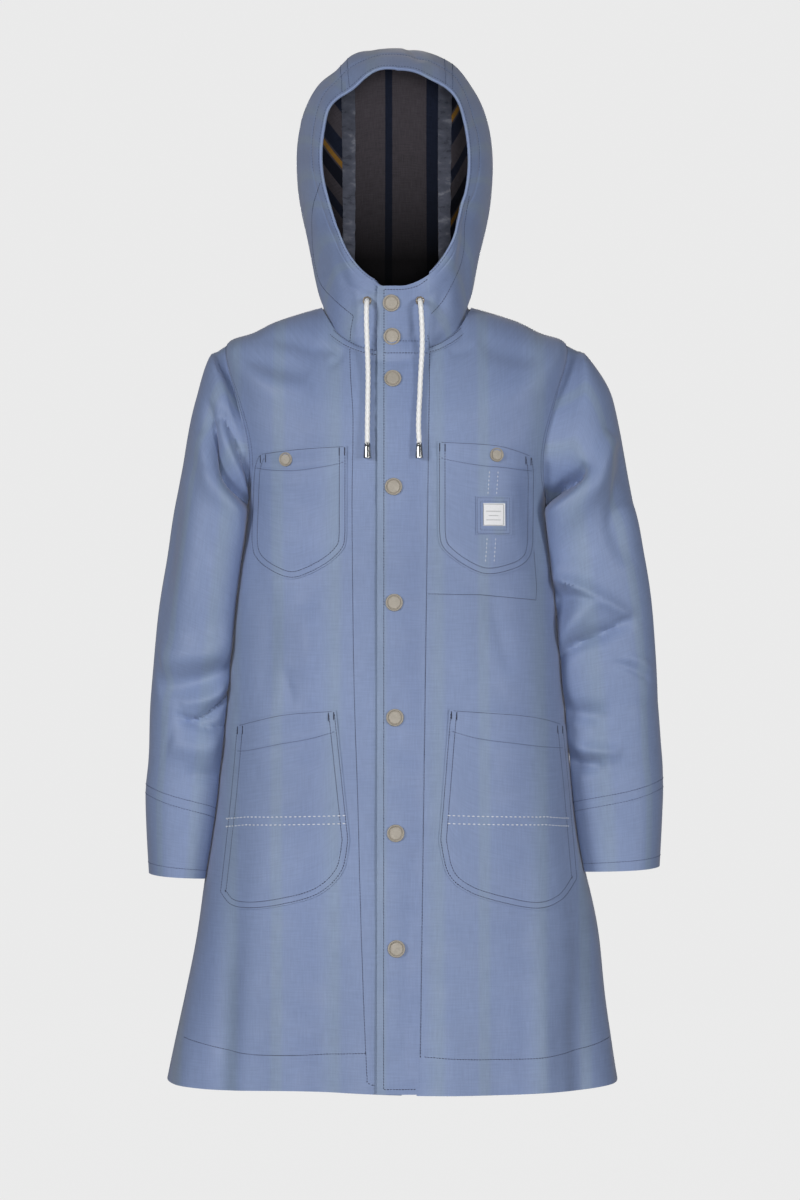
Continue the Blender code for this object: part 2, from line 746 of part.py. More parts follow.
# The route of a cord end below its eyelet: across, out of the coat's front, and down.
CORD_ROUTE = {
    "left": [
        (0.0, 4.0, 0), (0.2, 7.5, -0.6), (0.6, 12.5, -4), (1.2, 15.5, -12), (2.0, 15.5, -24),
        (2.6, 13.0, -40), (2.4, 9.5, -58), (1.4, 6.5, -76), (0.4, 5.3, -94), (-0.4, 5.3, -112),
        (-1.4, 6.0, -130), (-1.8, 7.4, -148), (-1.0, 9.0, -166),
    ],
    "right": [
        (0.0, 4.0, 0), (-0.2, 7.5, -0.6), (-0.4, 12.5, -4), (-0.6, 15.5, -12), (-0.6, 15.5, -24),
        (-0.2, 13.0, -40), (0.4, 9.5, -58), (1.0, 6.5, -76), (1.2, 5.3, -94), (1.0, 5.3, -112),
        (0.8, 6.0, -130), (0.6, 7.4, -148), (0.6, 9.0, -166),
    ],
}


def cord_place(side, across, out, down):
    x, z = EYELETS[side]
    return on_front(x + across, z + down) - (0, out, 0)


def cord_line(side, steps=14):
    rows = [cord_place(side, *row) for row in CORD_ROUTE[side]]
    return [along(rows, t) for t in np.linspace(0, len(rows) - 1, steps)]


def cord_end(side):
    x, z = EYELETS[side]
    eyelet = [
        (EYELET_HOLE_R, 0), (EYELET_HOLE_R, EYELET_H * 0.7), (EYELET_HOLE_R + 0.6, EYELET_H),
        (EYELET_R - 0.5, EYELET_H * 0.7), (EYELET_R, 0), (EYELET_HOLE_R, 0),
    ]
    out = front_normal(x, z)
    turned(f"eyelet_{side}", eyelet, "snap_metal", 12, on_front(x, z) + out * HARDWARE_OUT, out)
    line = cord_line(side)
    tail = tube(f"cord_tail_{side}", line, CORD_R, "cord_white")
    foot = Vector(line[-1])
    bell = [(0, 0), (3.2, 0), (3.4, -3), (4.4, -12), (4.7, -BELL_LENGTH), (0, -BELL_LENGTH)]
    turned(f"cord_bell_{side}", bell, "bell_metal", 12, foot - Vector((0, 0, GAP)), (0, 0, 1))
    return tail


clear_scene()
COAT = collection("foul_weather_jacket")
CUTTERS = collection("cutters")
MATERIALS = {name: material(name) for name in COLOURS}
FACE = coat_face()

for wearer_side in ("left", "right"):
    front_panel(wearer_side)
    side_tape(wearer_side)
    neck_band(wearer_side)
    sleeve(wearer_side)
    cuff(wearer_side)
    cord_end(wearer_side)
back_panel()
hem_facing()
hood_panels()
hood_drawcord()
hood_base()
closing_strip()
front_snaps()
for pocket_name in POCKETS:
    pocket(pocket_name)
pocket_snaps()
patch("label_patch", LABEL_PATCH, POCKET_OUT + CLOTH + GAP, LINING, "coated_cloth")
patch("label", LABEL, POCKET_OUT + CLOTH + 2 * GAP + LINING, LINING, "label_cloth")
inner_pocket()
hanger_loop()
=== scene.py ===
"""Foul weather jacket: its looks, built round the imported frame.

Lengths are millimetres and MM turns them into metres. +Z is up, -Y is the front and +X is the
wearer's left. The driving tables are those of the CAD model, so every fine surface lies where its
plain solid does. Folds are relief on those surfaces, and seams are rows of real stitches.
"""
import math

import bpy
import numpy as np
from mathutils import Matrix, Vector
from mathutils.bvhtree import BVHTree


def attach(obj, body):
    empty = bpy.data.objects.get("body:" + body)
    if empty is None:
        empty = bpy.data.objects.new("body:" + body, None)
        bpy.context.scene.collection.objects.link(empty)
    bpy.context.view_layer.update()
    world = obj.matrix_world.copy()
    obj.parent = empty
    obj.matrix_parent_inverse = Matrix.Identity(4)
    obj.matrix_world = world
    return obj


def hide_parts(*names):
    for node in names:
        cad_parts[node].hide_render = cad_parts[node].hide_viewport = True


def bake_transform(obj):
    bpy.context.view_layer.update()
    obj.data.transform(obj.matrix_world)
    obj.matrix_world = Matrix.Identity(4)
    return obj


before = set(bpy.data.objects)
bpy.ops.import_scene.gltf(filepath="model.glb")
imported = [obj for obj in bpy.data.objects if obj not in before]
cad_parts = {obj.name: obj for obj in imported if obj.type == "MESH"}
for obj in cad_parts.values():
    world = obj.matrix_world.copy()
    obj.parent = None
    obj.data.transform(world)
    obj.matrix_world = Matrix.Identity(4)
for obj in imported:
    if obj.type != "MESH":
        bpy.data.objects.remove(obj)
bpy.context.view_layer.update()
MM = 0.001

# ---- Driving dimensions ------------------------------------------------------------------------
CLOTH = 1.1  # rubberised cloth with its woven backing
STRIP_CLOTH = 1.4  # the strip, which is folded double and pressed
THIN = 0.7  # a facing, band or tape
STEP = 3.6  # between the points of a fine surface
SQUARE, RIDGE = 0.77, 1.6  # how square the body's sections are, and how round its shoulders
SIDE_Y = -100  # the plane between the coat's front and its back
NECK, SHOULDER, ARMPIT, HEM = 0, 3, 7, 14

# Body loops from the neck seam to the hem: front centre y, z; side x, y, z; back centre y, z.
BODY = [
    (-190, -58, 88, -95, -6, 9, 4),
    (-196, -80, 125, -95, -17, 14, -20),
    (-202, -104, 163, -95, -30, 20, -48),
    (-207, -130, 200, -95, -44, 25, -82),
    (-210, -158, 196, -97, -95, 29, -120),
    (-213, -186, 188, -99, -150, 32, -160),
    (-215, -212, 180, -100, -200, 32, -200),
    (-217, -237, 176, -100, -237, 31, -237),
    (-227, -345, 189, -100, -345, 27, -345),
    (-240, -463, 199, -100, -463, 28, -463),
    (-250, -581, 210, -100, -581, 36, -581),
    (-259, -675, 223, -100, -675, 46, -675),
    (-267, -758, 234, -100, -758, 54, -758),
    (-277, -865, 256, -100, -865, 66, -865),
    (-281, -905, 264, -100, -905, 70, -905),
]
ARMHOLE_BITE = 25  # degrees that the armhole cuts into the body's loops

# Sleeve sections from the armhole to the cuff edge: outer x, z; inner x, z; half depth.
SLEEVE = [
    (222, -58, 181, -244, 70),
    (241, -96, 186, -258, 74),
    (255, -150, 187, -280, 75),
    (266, -215, 190, -310, 74),
    (276, -274, 193, -348, 72),
    (286, -333, 197, -394, 69),
    (293, -398, 201, -444, 66),
    (299, -463, 206, -496, 63),
    (302, -522, 210, -542, 61),
    (305, -568, 217, -602, 59),
    (304, -612, 221, -636, 58),
    (301, -668, 227, -673, 58),
]
CUFF_START, CUFF_END = 9, 11
SLEEVE_BEND = ((0.2, -0.1, -0.142), (0.263, -0.1, -0.159))  # metres: where a lifted sleeve bends

# Hood loops from the face opening to the neck seam, each from the chin to the crown:
# chin y, z; crown y, z; half width; how far the widest place sits towards the crown.
HOOD = [
    (-182, 19, -212, 266, 88, 0.15),
    (-183, 11, -165, 291, 100, 0.15),
    (-184, 4, -110, 304, 110, 0.17),
    (-184, -4, -55, 301, 116, 0.18),
    (-185, -12, -5, 272, 117, 0.16),
    (-186, -20, 35, 228, 116, 0.12),
    (-187, -27, 56, 180, 113, 0.08),
    (-188, -35, 62, 130, 108, 0.04),
    (-188, -43, 57, 80, 101, 0.0),
    (-189, -50, 40, 38, 94, 0.0),
    (-190, -58, 9, 4, 88, 0.0),
]
HOOD_LAST = len(HOOD) - 1
HOOD_ROUND, NECK_LIFT = 0.9, 23
SEAM_X = 60  # hood seams, either side of the centre
RIM = 1.6  # radius of the rolled edge of the face opening
RIM_ROWS = 6  # rows of the rolled edge, before the first loop
CHANNEL, CORD_AT = 0.82, 0.45  # loops from the opening to the channel's stitching, and to the cord
HOOD_BEND = ((0, -0.1, 0.015), (0, -0.1, 0.165))  # metres: where the cloth bends as it tips

# The front closing.
STRIP_FREE, STRIP_HINGE, HINGE_X_AT_HEM = -22, 38, 25
STRIP_TOP, STRIP_FOOT = 18, -903
LAP_SINK = 2.6  # how much lower the right front lies under the strip
LAP_EDGE = (-25, -22.5)  # between these it steps down
LAPPED_TO = 6  # the right front runs on to here under the strip
SNAP_X = (-6, 0)
SNAP_Z = (-2, -41, -90, -215, -348, -479, -610, -740)
CAP_R, CAP_H, POCKET_CAP_R, STUD_R = 10.0, 2.6, 8.2, 7.0
STUD_DEPTH = 4.2  # from the coat's face back to a stud's base
EYELETS = {"left": (27, 1), "right": (-34, 1)}
EYELET_R, EYELET_HOLE_R, EYELET_H = 5.25, 3.3, 1.4
CORD_R, BELL_LENGTH = 3.0, 17
POCKET_SNAPS = {"right": (-126, -183), "left": (114, -178)}

# The route of a cord end below its eyelet: out of the coat's front and down, and across.
CORD_OUT_DOWN = [
    (4.0, 0), (7.5, -0.6), (12.5, -4), (15.5, -12), (15.5, -24), (13.0, -40), (9.5, -58),
    (6.5, -76), (5.3, -94), (5.3, -112), (6.0, -130), (7.4, -148), (9.0, -166),
]
CORD_ACROSS = {
    "left": (0.0, 0.2, 0.6, 1.2, 2.0, 2.6, 2.4, 1.4, 0.4, -0.4, -1.4, -1.8, -1.0),
    "right": (0.0, -0.2, -0.4, -0.6, -0.6, -0.2, 0.4, 1.0, 1.2, 1.0, 0.8, 0.6, 0.6),
}

# Patch pockets: mouth, inner side, bottom edge and outer side, each as x, z points.
POCKETS = {
    "chest_pocket_right": (
        [(-57, -168), (-110, -171), (-160, -176)],
        [(-57, -168), (-57, -270)],
        [(-57, -270), (-61, -287), (-82, -306), (-118, -321), (-148, -311), (-166, -294), (-170, -272)],
        [(-160, -176), (-167, -198), (-170, -272)],
    ),
    "chest_pocket_left": (
        [(47, -163), (108, -166), (134, -171), (158, -179)],
        [(47, -163), (47, -266)],
        [(47, -266), (52, -286), (76, -306), (104, -317), (138, -310), (155, -297), (160, -278)],
        [(158, -179), (161, -205), (160, -278)],
    ),
    "hip_pocket_right": (
        [(-69, -471), (-130, -476), (-186, -490)],
        [(-69, -471), (-61, -545), (-53, -618)],
        [(-53, -618), (-61, -654), (-88, -680), (-130, -693), (-170, -699), (-192, -696), (-205, -682)],
        [(-186, -490), (-193, -570), (-205, -682)],
    ),
    "hip_pocket_left": (
        [(60, -470), (137, -476), (172, -482), (195, -490)],
        [(60, -470), (54, -545), (48, -618)],
        [(48, -618), (57, -656), (80, -677), (120, -691), (163, -699), (192, -690), (211, -668)],
        [(195, -490), (203, -570), (211, -668)],
    ),
}
LABEL_PATCH = (91, 132, -270, -226)
LABEL = (99, 124, -260, -234)

# Folds, each a path of x, z points, a width, a height (below zero for a valley) and how sharp it
# is, from 0 for a round fold to 1 for a crisp one.
SLEEVE_FOLDS = {
    "right": [
        ([(-230, -112), (-221, -157), (-206, -200), (-191, -239), (-177, -272)], 8, -13.4, 0.6),
        ([(-240, -150), (-224, -200), (-208, -245), (-192, -292)], 12, 6.1, 0),
        ([(-222, -136), (-212, -131), (-202, -142), (-186, -177), (-173, -210)], 7, -6.1, 0.3),
        ([(-214, -148), (-200, -184), (-186, -217), (-176, -246)], 8, 4.9, 0),
        ([(-288, -448), (-250, -441), (-215, -424), (-188, -400)], 13, -7.3, 0),
        ([(-286, -415), (-245, -408), (-205, -392)], 17, 6.1, 0),
        ([(-268, -480), (-251, -486), (-232, -469), (-208, -445), (-188, -428)], 6, -9.8, 1.0),
        ([(-264, -468), (-240, -460), (-222, -445), (-205, -430)], 8, 4.9, 0.3),
        ([(-264, -484), (-241, -495), (-213, -489)], 6, -4.9, 0.9),
        ([(-275, -512), (-245, -518), (-210, -502)], 15, 4.9, 0),
        ([(-228, -190), (-238, -290), (-240, -400)], 26, 4.9, 0),
        ([(-262, -210), (-276, -310), (-286, -400)], 12, -3.7, 0),
        ([(-205, -540), (-225, -552), (-262, -548)], 10, -3.7, 0.2),
    ],
    "left": [
        ([(212, -190), (196, -207), (181, -232), (172, -262)], 8, -13.4, 0.4),
        ([(216, -192), (208, -222), (196, -252), (181, -284)], 8, 7.3, 0.2),
        ([(250, -160), (258, -185), (252, -222), (247, -262), (262, -305)], 11, -6.1, 0),
        ([(246, -154), (232, -176), (222, -214), (210, -252), (190, -292)], 12, 8.5, 0),
        ([(178, -304), (202, -317), (222, -328), (243, -348), (262, -366)], 8, 8.5, 0.6),
        ([(180, -322), (200, -334), (212, -346), (205, -366), (190, -388)], 10, -11, 0.3),
        ([(263, -368), (245, -384), (219, -408), (202, -446)], 8, -8.5, 0.5),
        ([(230, -344), (224, -370), (206, -406)], 10, 8, 0.1),
        ([(252, -420), (270, -430), (284, -443)], 4, -2.7, 0.5),
        ([(258, -412), (274, -420), (288, -434)], 5, 2, 0.3),
        ([(209, -522), (232, -543), (250, -545)], 10, -8, 0.35),
        ([(215, -507), (236, -526), (262, -530)], 9, 5, 0.1),
        ([(266, -230), (281, -330), (289, -470)], 20, 4.9, 0),
        ([(206, -460), (222, -480), (250, -486)], 12, -8, 0.1),
    ],
}
SLEEVE_BACK_FOLDS = [
    ([(215, -130), (200, -190), (186, -262)], 10, -8, 0.3),
    ([(240, -150), (222, -230), (196, -300)], 14, 5, 0),
    ([(200, -390), (232, -372), (278, -378)], 11, -7, 0.4),
    ([(204, -360), (236, -348), (276, -352)], 12, 5, 0),
    ([(208, -440), (240, -418), (284, -424)], 10, -5, 0.4),
    ([(214, -520), (244, -536), (288, -522)], 10, -4, 0.2),
]
FRONT_FOLDS = [
    ([(-156, -40), (-123, -46), (-76, -62)], 9, -5.5, 0.2),
    ([(-190, -53), (-150, -70), (-100, -86)], 14, -6, 0.1),
    ([(-176, -80), (-140, -96), (-100, -100)], 13, 2.5, 0),
    ([(96, -46), (128, -60), (170, -62)], 12, -3.5, 0),
    ([(92, -52), (76, -58), (61, -61)], 5, -3, 0.3),
    ([(-94, -49), (-76, -56), (-61, -60)], 4, -3.5, 0.4),
    ([(-78, -78), (-69, -68), (-61, -60)], 5, -3, 0.3),
    ([(-34, -67), (-8, -71), (22, -68)], 4, -2.2, 0.4),
    ([(28, -22), (18, -38), (9, -53)], 5, -2.6, 0.2),
    ([(-30, 12), (-27, -6), (-26, -40)], 5, -2.6, 0),
    ([(-46, 14), (-43, -8), (-46, -40)], 5, 2.0, 0),
    ([(56, 16), (50, -10), (47, -44)], 6, -2.2, 0),
    ([(150, -190), (158, -260), (172, -330)], 12, -4, 0),
    ([(110, -325), (118, -375), (132, -430)], 11, -2.5, 0.2),
    ([(82, -330), (84, -380), (80, -440)], 14, 2, 0),
    ([(-150, -322), (-146, -390), (-150, -462)], 16, -3, 0),
    ([(-104, -350), (-100, -400), (-96, -466)], 13, 2.5, 0),
    ([(-128, -420), (-124, -445), (-118, -470)], 8, -2.5, 0.2),
    ([(-168, -240), (-176, -330), (-186, -430)], 10, 3, 0),
    ([(16, -640), (12, -760), (10, -890)], 12, -2.0, 0),
]
# Folds that open towards the hem: they start at nothing and keep their height at the edge.
FRONT_DRAPES = [
    ([(-168, -560), (-186, -740), (-196, -925)], 15, -7, 0),
    ([(-206, -620), (-226, -780), (-240, -925)], 14, 6, 0),
    ([(-112, -640), (-118, -780), (-120, -925)], 24, 5, 0),
    ([(-72, -690), (-74, -800), (-76, -925)], 14, -4, 0),
    ([(60, -690), (62, -800), (64, -925)], 16, 3, 0),
    ([(108, -680), (114, -800), (120, -925)], 16, -4, 0),
    ([(158, -600), (166, -760), (172, -925)], 16, 5, 0),
    ([(196, -560), (208, -740), (216, -925)], 12, -7, 0),
    ([(226, -640), (240, -780), (250, -925)], 12, 5, 0),
]
BACK_FOLDS = [
    ([(-120, -60), (-60, -78), (0, -82), (60, -78), (120, -60)], 16, -3, 0),
    ([(-172, -150), (-140, -220), (-128, -320)], 18, 4, 0),
    ([(172, -150), (140, -220), (128, -320)], 18, 4, 0),
    ([(-150, -200), (-112, -280), (-104, -400)], 12, -4, 0),
    ([(150, -210), (116, -290), (108, -400)], 12, -4, 0),
]
BACK_DRAPES = [
    ([(-190, -380), (-206, -640), (-224, -925)], 18, -9, 0),
    ([(-140, -300), (-146, -600), (-158, -925)], 26, 11, 0),
    ([(-84, -340), (-88, -620), (-98, -925)], 20, -9, 0),
    ([(-30, -300), (-32, -620), (-36, -925)], 26, 9, 0),
    ([(34, -360), (36, -640), (38, -925)], 20, -9, 0),
    ([(92, -300), (96, -600), (106, -925)], 26, 10, 0),
    ([(152, -360), (160, -620), (176, -925)], 20, -9, 0),
    ([(200, -400), (214, -660), (232, -925)], 18, 7, 0),
]
HOOD_FOLDS = [
    ([(-60, 296), (-76, 278), (-82, 250)], 8, -4, 0.2),
    ([(-36, 304), (-52, 282), (-60, 256)], 9, 3, 0),
    ([(10, 306), (20, 292), (30, 276)], 7, -3, 0.3),
    ([(-98, 110), (-94, 70), (-84, 34)], 12, 3, 0),
    ([(-76, 84), (-68, 48), (-58, 16)], 7, -2.5, 0),
    ([(88, 120), (84, 70), (72, 30)], 10, -3, 0),
    ([(98, 210), (102, 160), (96, 110)], 12, 3, 0),
    ([(-108, 220), (-112, 170), (-106, 120)], 10, -2.5, 0),
]
# Unevenness of the face opening's edge: degrees round from the chin, its spread, and how far in.
EDGE_DIPS = [
    (-150, 11, 6.0), (-128, 9, -3.0), (-172, 8, -2.0), (158, 10, 2.5), (128, 14, -2.0), (-60, 16, 2.0),
]
# Where the worn hood is narrower than its plain solid: how far, its height and its spread.
HOOD_TUCKS = {"right": [(9, 52, 68)], "left": [(12, 45, 70), (6, 210, 100)]}
# How the worn coat stands: how far the skirt and the sleeves swing towards the wearer's left, how
# much fuller the left hip is, and how much higher the shoulders and the front hem's right half are.
SKIRT_LEAN, SLEEVE_LEAN, HIP_OUT, SHOULDER_UP, HEM_UP = -5, 9, 10, 6, 5
SLEEVE_RISE = {"left": 10, "right": 2}  # how much higher each cuff hangs
SLEEVE_FOLD_DEPTH = 1.5  # how much deeper the sleeves' folds are than their tables say

# ---- Curves and surfaces -----------------------------------------------------------------------
def along(table, t):
    """The table's row at t, on a smooth curve that passes through row k at t = k."""
    rows = np.asarray(table, float)
    k = int(min(max(math.floor(t), 0), len(rows) - 2))
    f = t - k
    before, a, b, after = rows[max(k - 1, 0)], rows[k], rows[k + 1], rows[min(k + 2, len(rows) - 1)]
    slope_a, slope_b = (b - before) / 2, (after - a) / 2
    return (
        (2 * f**3 - 3 * f**2 + 1) * a
        + (f**3 - 2 * f**2 + f) * slope_a
        + (3 * f**2 - 2 * f**3) * b
        + (f**3 - f**2) * slope_b
    )


def curve(points, count=24):
    """count points on the smooth curve through the points."""
    return np.array([along(points, t) for t in np.linspace(0, len(points) - 1, count)])


def walked(line):
    """How far along a line each of its points is."""
    return np.concatenate([[0], np.cumsum(np.linalg.norm(np.diff(line, axis=0), axis=1))])


def placed(line, far, wanted):
    """The line's places where its distances, far, reach the wanted ones."""
    return np.stack([np.interp(wanted, far, line[:, k]) for k in range(line.shape[1])], axis=1)


def evenly(line, count):
    """count points at equal steps along a line."""
    line = np.asarray(line, float)
    far = walked(line)
    return placed(line, far, np.linspace(0, far[-1], count))


def ease(start, end, value):
    """From 0 at start to 1 at end, level at both."""
    t = np.clip((np.asarray(value, float) - start) / (end - start), 0, 1)
    return t * t * (3 - 2 * t)


def bump(centre, spread, value):
    """1 at the centre, dying away on both sides."""
    return np.exp(-(((value - centre) / spread) ** 2))


def signed_power(value, power):
    """A power that keeps the value's sign."""
    return np.sign(value) * np.abs(value) ** power


def body_loop(u, angle):
    """Places on the body's loop at table position u; the angle is 0 in front and +90 at the left."""
    front_y, front_z, side_x, side_y, side_z, back_y, back_z = along(BODY, u)
    angle = np.asarray(angle, float)
    c = np.cos(angle)
    share = np.abs(c) ** SQUARE
    end_y = np.where(c >= 0, front_y, back_y)
    end_z = np.where(c >= 0, front_z, back_z)
    x = side_x * signed_power(np.sin(angle), SQUARE)
    y = side_y + (end_y - side_y) * share
    z = side_z + (end_z - side_z) * np.abs(c) ** RIDGE
    return np.stack([x, y, z], axis=-1)


def plain_hood_loop(v, angle):
    """Places on the hood's loop at table position v; the angle is 0 at the chin, 180 at the crown."""
    chin_y, chin_z, crown_y, crown_z, half, high = along(HOOD, v)
    share = (1 - np.cos(angle)) / 2
    turn = np.abs(np.sin(angle))
    x = np.sign(np.sin(angle)) * half * turn**HOOD_ROUND * (1 - high * np.cos(angle))
    y = chin_y + (crown_y - chin_y) * share
    z = chin_z + (crown_z - chin_z) * share + NECK_LIFT * (v / HOOD_LAST) ** 3 * turn**2
    return np.stack([x, y, z], axis=-1)


def hood_loop(v, angle):
    """A loop round the hood; its last loops settle onto the coat's neck seam."""
    angle = np.asarray(angle, float)
    settle = max(0, (v - HOOD_LAST + 4) / 4) ** 2
    miss = body_loop(NECK, angle) - plain_hood_loop(HOOD_LAST, angle)
    return plain_hood_loop(v, angle) + settle * miss


def side_angle(u):
    """Where a panel ends at the side: the side seam, the shoulder seam or the armhole."""
    share = (u - SHOULDER) / (ARMPIT - SHOULDER)
    bite = ARMHOLE_BITE * math.sin(math.pi * share) ** 0.8 if 0 < share < 1 else 0
    return math.radians(90 - bite)


def body_angle_at(u, x):
    side_x = along(BODY, u)[2]
    return math.copysign(math.asin(min(1, abs(x) / side_x) ** (1 / SQUARE)), x)


def strip_share(z):
    return (STRIP_TOP - z) / (STRIP_TOP - STRIP_FOOT)


def hinge_x(z):
    """Where the strip is sewn to the left front at a height."""
    return STRIP_HINGE + (HINGE_X_AT_HEM - STRIP_HINGE) * strip_share(z)


def even_steps(place, last, first=0.0):
    """Table positions from first to last whose places lie about STEP apart."""
    fine = np.linspace(first, last, 400)
    far = walked(np.array([place(t) for t in fine]))
    return np.interp(np.linspace(0, far[-1], int(far[-1] / STEP)), far, fine)


# ---- Folds -------------------------------------------------------------------------------------
def fold(x, z, path, width, height, sharp, keeps_end=False):
    """Relief of one fold at the places x, z; it fades out at its ends."""
    line = curve(path)
    start, step = line[:-1], np.diff(line, axis=0)
    places = np.stack([x.ravel(), z.ravel()], axis=1)
    shares, gaps = [], []
    for a, d in zip(start, step):
        t = np.clip((places - a) @ d / (d @ d), 0, 1)
        gaps.append(np.linalg.norm(places - a - t[:, None] * d, axis=1))
        shares.append(t)
    gaps, shares = np.array(gaps), np.array(shares)
    nearest = gaps.argmin(axis=0)
    pick = np.arange(len(places))
    gap = gaps[nearest, pick]
    t = (nearest + shares[nearest, pick]) / len(start)
    fade = np.minimum(t * 1.4, 1) ** 1.5 if keeps_end else np.sin(math.pi * t) ** 0.7
    round_part = np.exp(-((gap / width) ** 2))
    crisp_part = np.exp(-gap / (0.55 * width))
    relief = height * fade * ((1 - sharp) * round_part + sharp * crisp_part)
    return relief.reshape(x.shape)


def all_folds(x, z, folds, keeps_end=False):
    total = np.zeros(x.shape)
    for path, width, height, sharp in folds:
        total += fold(x, z, path, width, height, sharp, keeps_end)
    return total


def ripples(x, z, size, height):
    """Slow unevenness that any cloth in use has."""
    a = np.sin(x / size + 1.3 * np.sin(z / (1.7 * size))) * np.cos(z / (1.4 * size) + 0.6)
    b = np.sin((x + 0.6 * z) / (0.61 * size) + 2.1) * np.cos((z - 0.3 * x) / (1.1 * size))
    return height * (0.6 * a + 0.4 * b)


def body_relief(rows, facing_front):
    x, z = rows[..., 0], rows[..., 2]
    if facing_front:
        relief = all_folds(x, z, FRONT_FOLDS) + all_folds(x, z, FRONT_DRAPES, True)
        relief += ripples(x, z, 46, 0.9)
        share = (SIDE_Y - rows[..., 1]) / 60
    else:
        relief = all_folds(x, z, BACK_FOLDS) + all_folds(x, z, BACK_DRAPES, True)
        relief += ripples(x, z, 60, 1.4)
        share = (rows[..., 1] - SIDE_Y - 5) / 60
    return relief * np.clip(share, 0, 1)  # folds die away towards the side seams


def hood_relief(rows, v, angles):
    x, z = rows[..., 0], rows[..., 2]
    front = ease(-60, -120, rows[..., 1])
    relief = all_folds(x, z, HOOD_FOLDS) * front + all_folds(x, z, FRONT_FOLDS) * front
    relief += ripples(x, z + rows[..., 1], 34, 1.0) * ease(0.5, 2.5, v)
    channel = np.clip(1 - v / CHANNEL, 0, 1)
    gathers = 0.35 * np.sin(23 * angles + 3 * np.sin(5 * angles))
    above = ease(20, 60, z)
    relief += above * (np.sin(math.pi * channel) * (0.5 + gathers) - 0.6 * bump(CHANNEL, 0.08, v))
    right, left = [
        sum(depth * bump(at, spread, z) for depth, at, spread in HOOD_TUCKS[side])
        for side in ("right", "left")
    ]
    relief -= ease(64, 94, np.abs(x)) * np.where(x < 0, right, left)
    return relief * ease(HOOD_LAST, HOOD_LAST - 0.5, v)


def leaned(rows):
    """The coat as it stands: a leaning skirt, a fuller hip, raised shoulders and an uneven hem."""
    moved = np.array(rows, float)
    x, z = moved[..., 0], moved[..., 2]
    hem_z = BODY[-1][1]
    skirt = SKIRT_LEAN * np.clip(z / hem_z, 0, 1) ** 2 * np.clip(np.abs(x) / 150, 0, 1)
    moved[..., 0] += skirt + HIP_OUT * bump(-735, 70, z) * ease(150, 235, x)
    shoulder = ease(66, 86, np.abs(x)) * ease(186, 140, np.abs(x)) * ease(-75, -18, z)
    moved[..., 2] += SHOULDER_UP * shoulder
    moved[..., 2] += HEM_UP * bump(-110, 90, x) * ease(-600, hem_z, z) * (moved[..., 1] < SIDE_Y)
    return moved


# ---- Meshes ------------------------------------------------------------------------------------
def normals_of(rows, inside, closed=False):
    """A grid's unit normals, which point away from the places inside."""
    down = np.gradient(rows, axis=0)
    if closed:
        across = (np.roll(rows, -1, axis=1) - np.roll(rows, 1, axis=1)) / 2
    else:
        across = np.gradient(rows, axis=1)
    out = np.cross(down, across)
    out /= np.maximum(np.linalg.norm(out, axis=2, keepdims=True), 1e-9)
    return out if np.sum(out * (rows - inside)) > 0 else -out


def pushed(rows, inside, amount, closed=False):
    """A grid moved outwards by the amount at each of its points."""
    return rows + normals_of(rows, inside, closed) * np.asarray(amount)[..., None]


def add_grid(name, rows, inside, materials, thick, closed=False, stripe=None):
    """A piece of cloth through rows of points; the first material is outside, the last inside.

    Its UV map holds metres: stripes are counted by u, across the cloth, and v runs down it.
    """
    high, wide = rows.shape[:2]
    out = normals_of(rows, inside, closed)
    forward = np.sum(np.cross(np.gradient(rows, axis=0), np.gradient(rows, axis=1)) * out) > 0
    cells = wide if closed else wide - 1
    r, c = np.meshgrid(np.arange(high - 1), np.arange(cells), indexing="ij")
    near, far = r * wide + c, r * wide + (c + 1) % wide
    quads = np.stack([near, near + wide, far + wide, far], axis=-1).reshape(-1, 4)
    if stripe is None:
        middle = rows[high // 2]
        line = np.vstack([middle, middle[:1]]) if closed else middle
        stripe = np.tile(walked(line), (high, 1))
    elif closed:
        stripe = np.hstack([stripe, stripe[:, :1]])
    down = np.concatenate([[0], np.cumsum(np.linalg.norm(np.diff(rows, axis=0), axis=2).mean(axis=1))])
    flat = np.stack([stripe, np.repeat(down[:, None], stripe.shape[1], axis=1)], axis=-1) * MM
    corners = [(r, c), (r + 1, c), (r + 1, c + 1), (r, c + 1)]
    uvs = np.stack([flat[a, b] for a, b in corners], axis=2).reshape(-1, 4, 2)
    if not forward:
        quads, uvs = quads[:, ::-1], uvs[:, ::-1]
    mesh = bpy.data.meshes.new(name)
    mesh.from_pydata((rows.reshape(-1, 3) * MM).tolist(), [], quads.tolist())
    layer = mesh.uv_layers.new(name="cloth")
    layer.data.foreach_set("uv", uvs.reshape(-1).astype(np.float32))
    mesh.shade_smooth()
    made = add_mesh(name, mesh, materials)
    if thick:
        solid = made.modifiers.new("cloth", "SOLIDIFY")
        solid.thickness = thick * MM
        solid.offset = -1
        solid.use_even_offset = False
        solid.material_offset = len(materials) - 1
        crisp = made.modifiers.new("crisp edges", "EDGE_SPLIT")
        crisp.split_angle = math.radians(50)
    return made


def add_mesh(name, mesh, materials):
    made = bpy.data.objects.new(name, mesh)
    for each in materials:
        mesh.materials.append(each)
    bpy.context.scene.collection.objects.link(made)
    return made


def dress(piece, body, slot, *nodes):
    """The piece rides on the body and stands for the nodes; slot is not used."""
    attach(piece, body)
    if nodes:
        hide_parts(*nodes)
    return piece


def bend(piece, bodies, ends, slot, *nodes):
    """Like dress, but the piece rides on no body: its place is baked into its mesh, and it stands for
    the nodes; bodies, ends and slot are not used.
    """
    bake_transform(piece)
    if nodes:
        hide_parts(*nodes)
    return piece


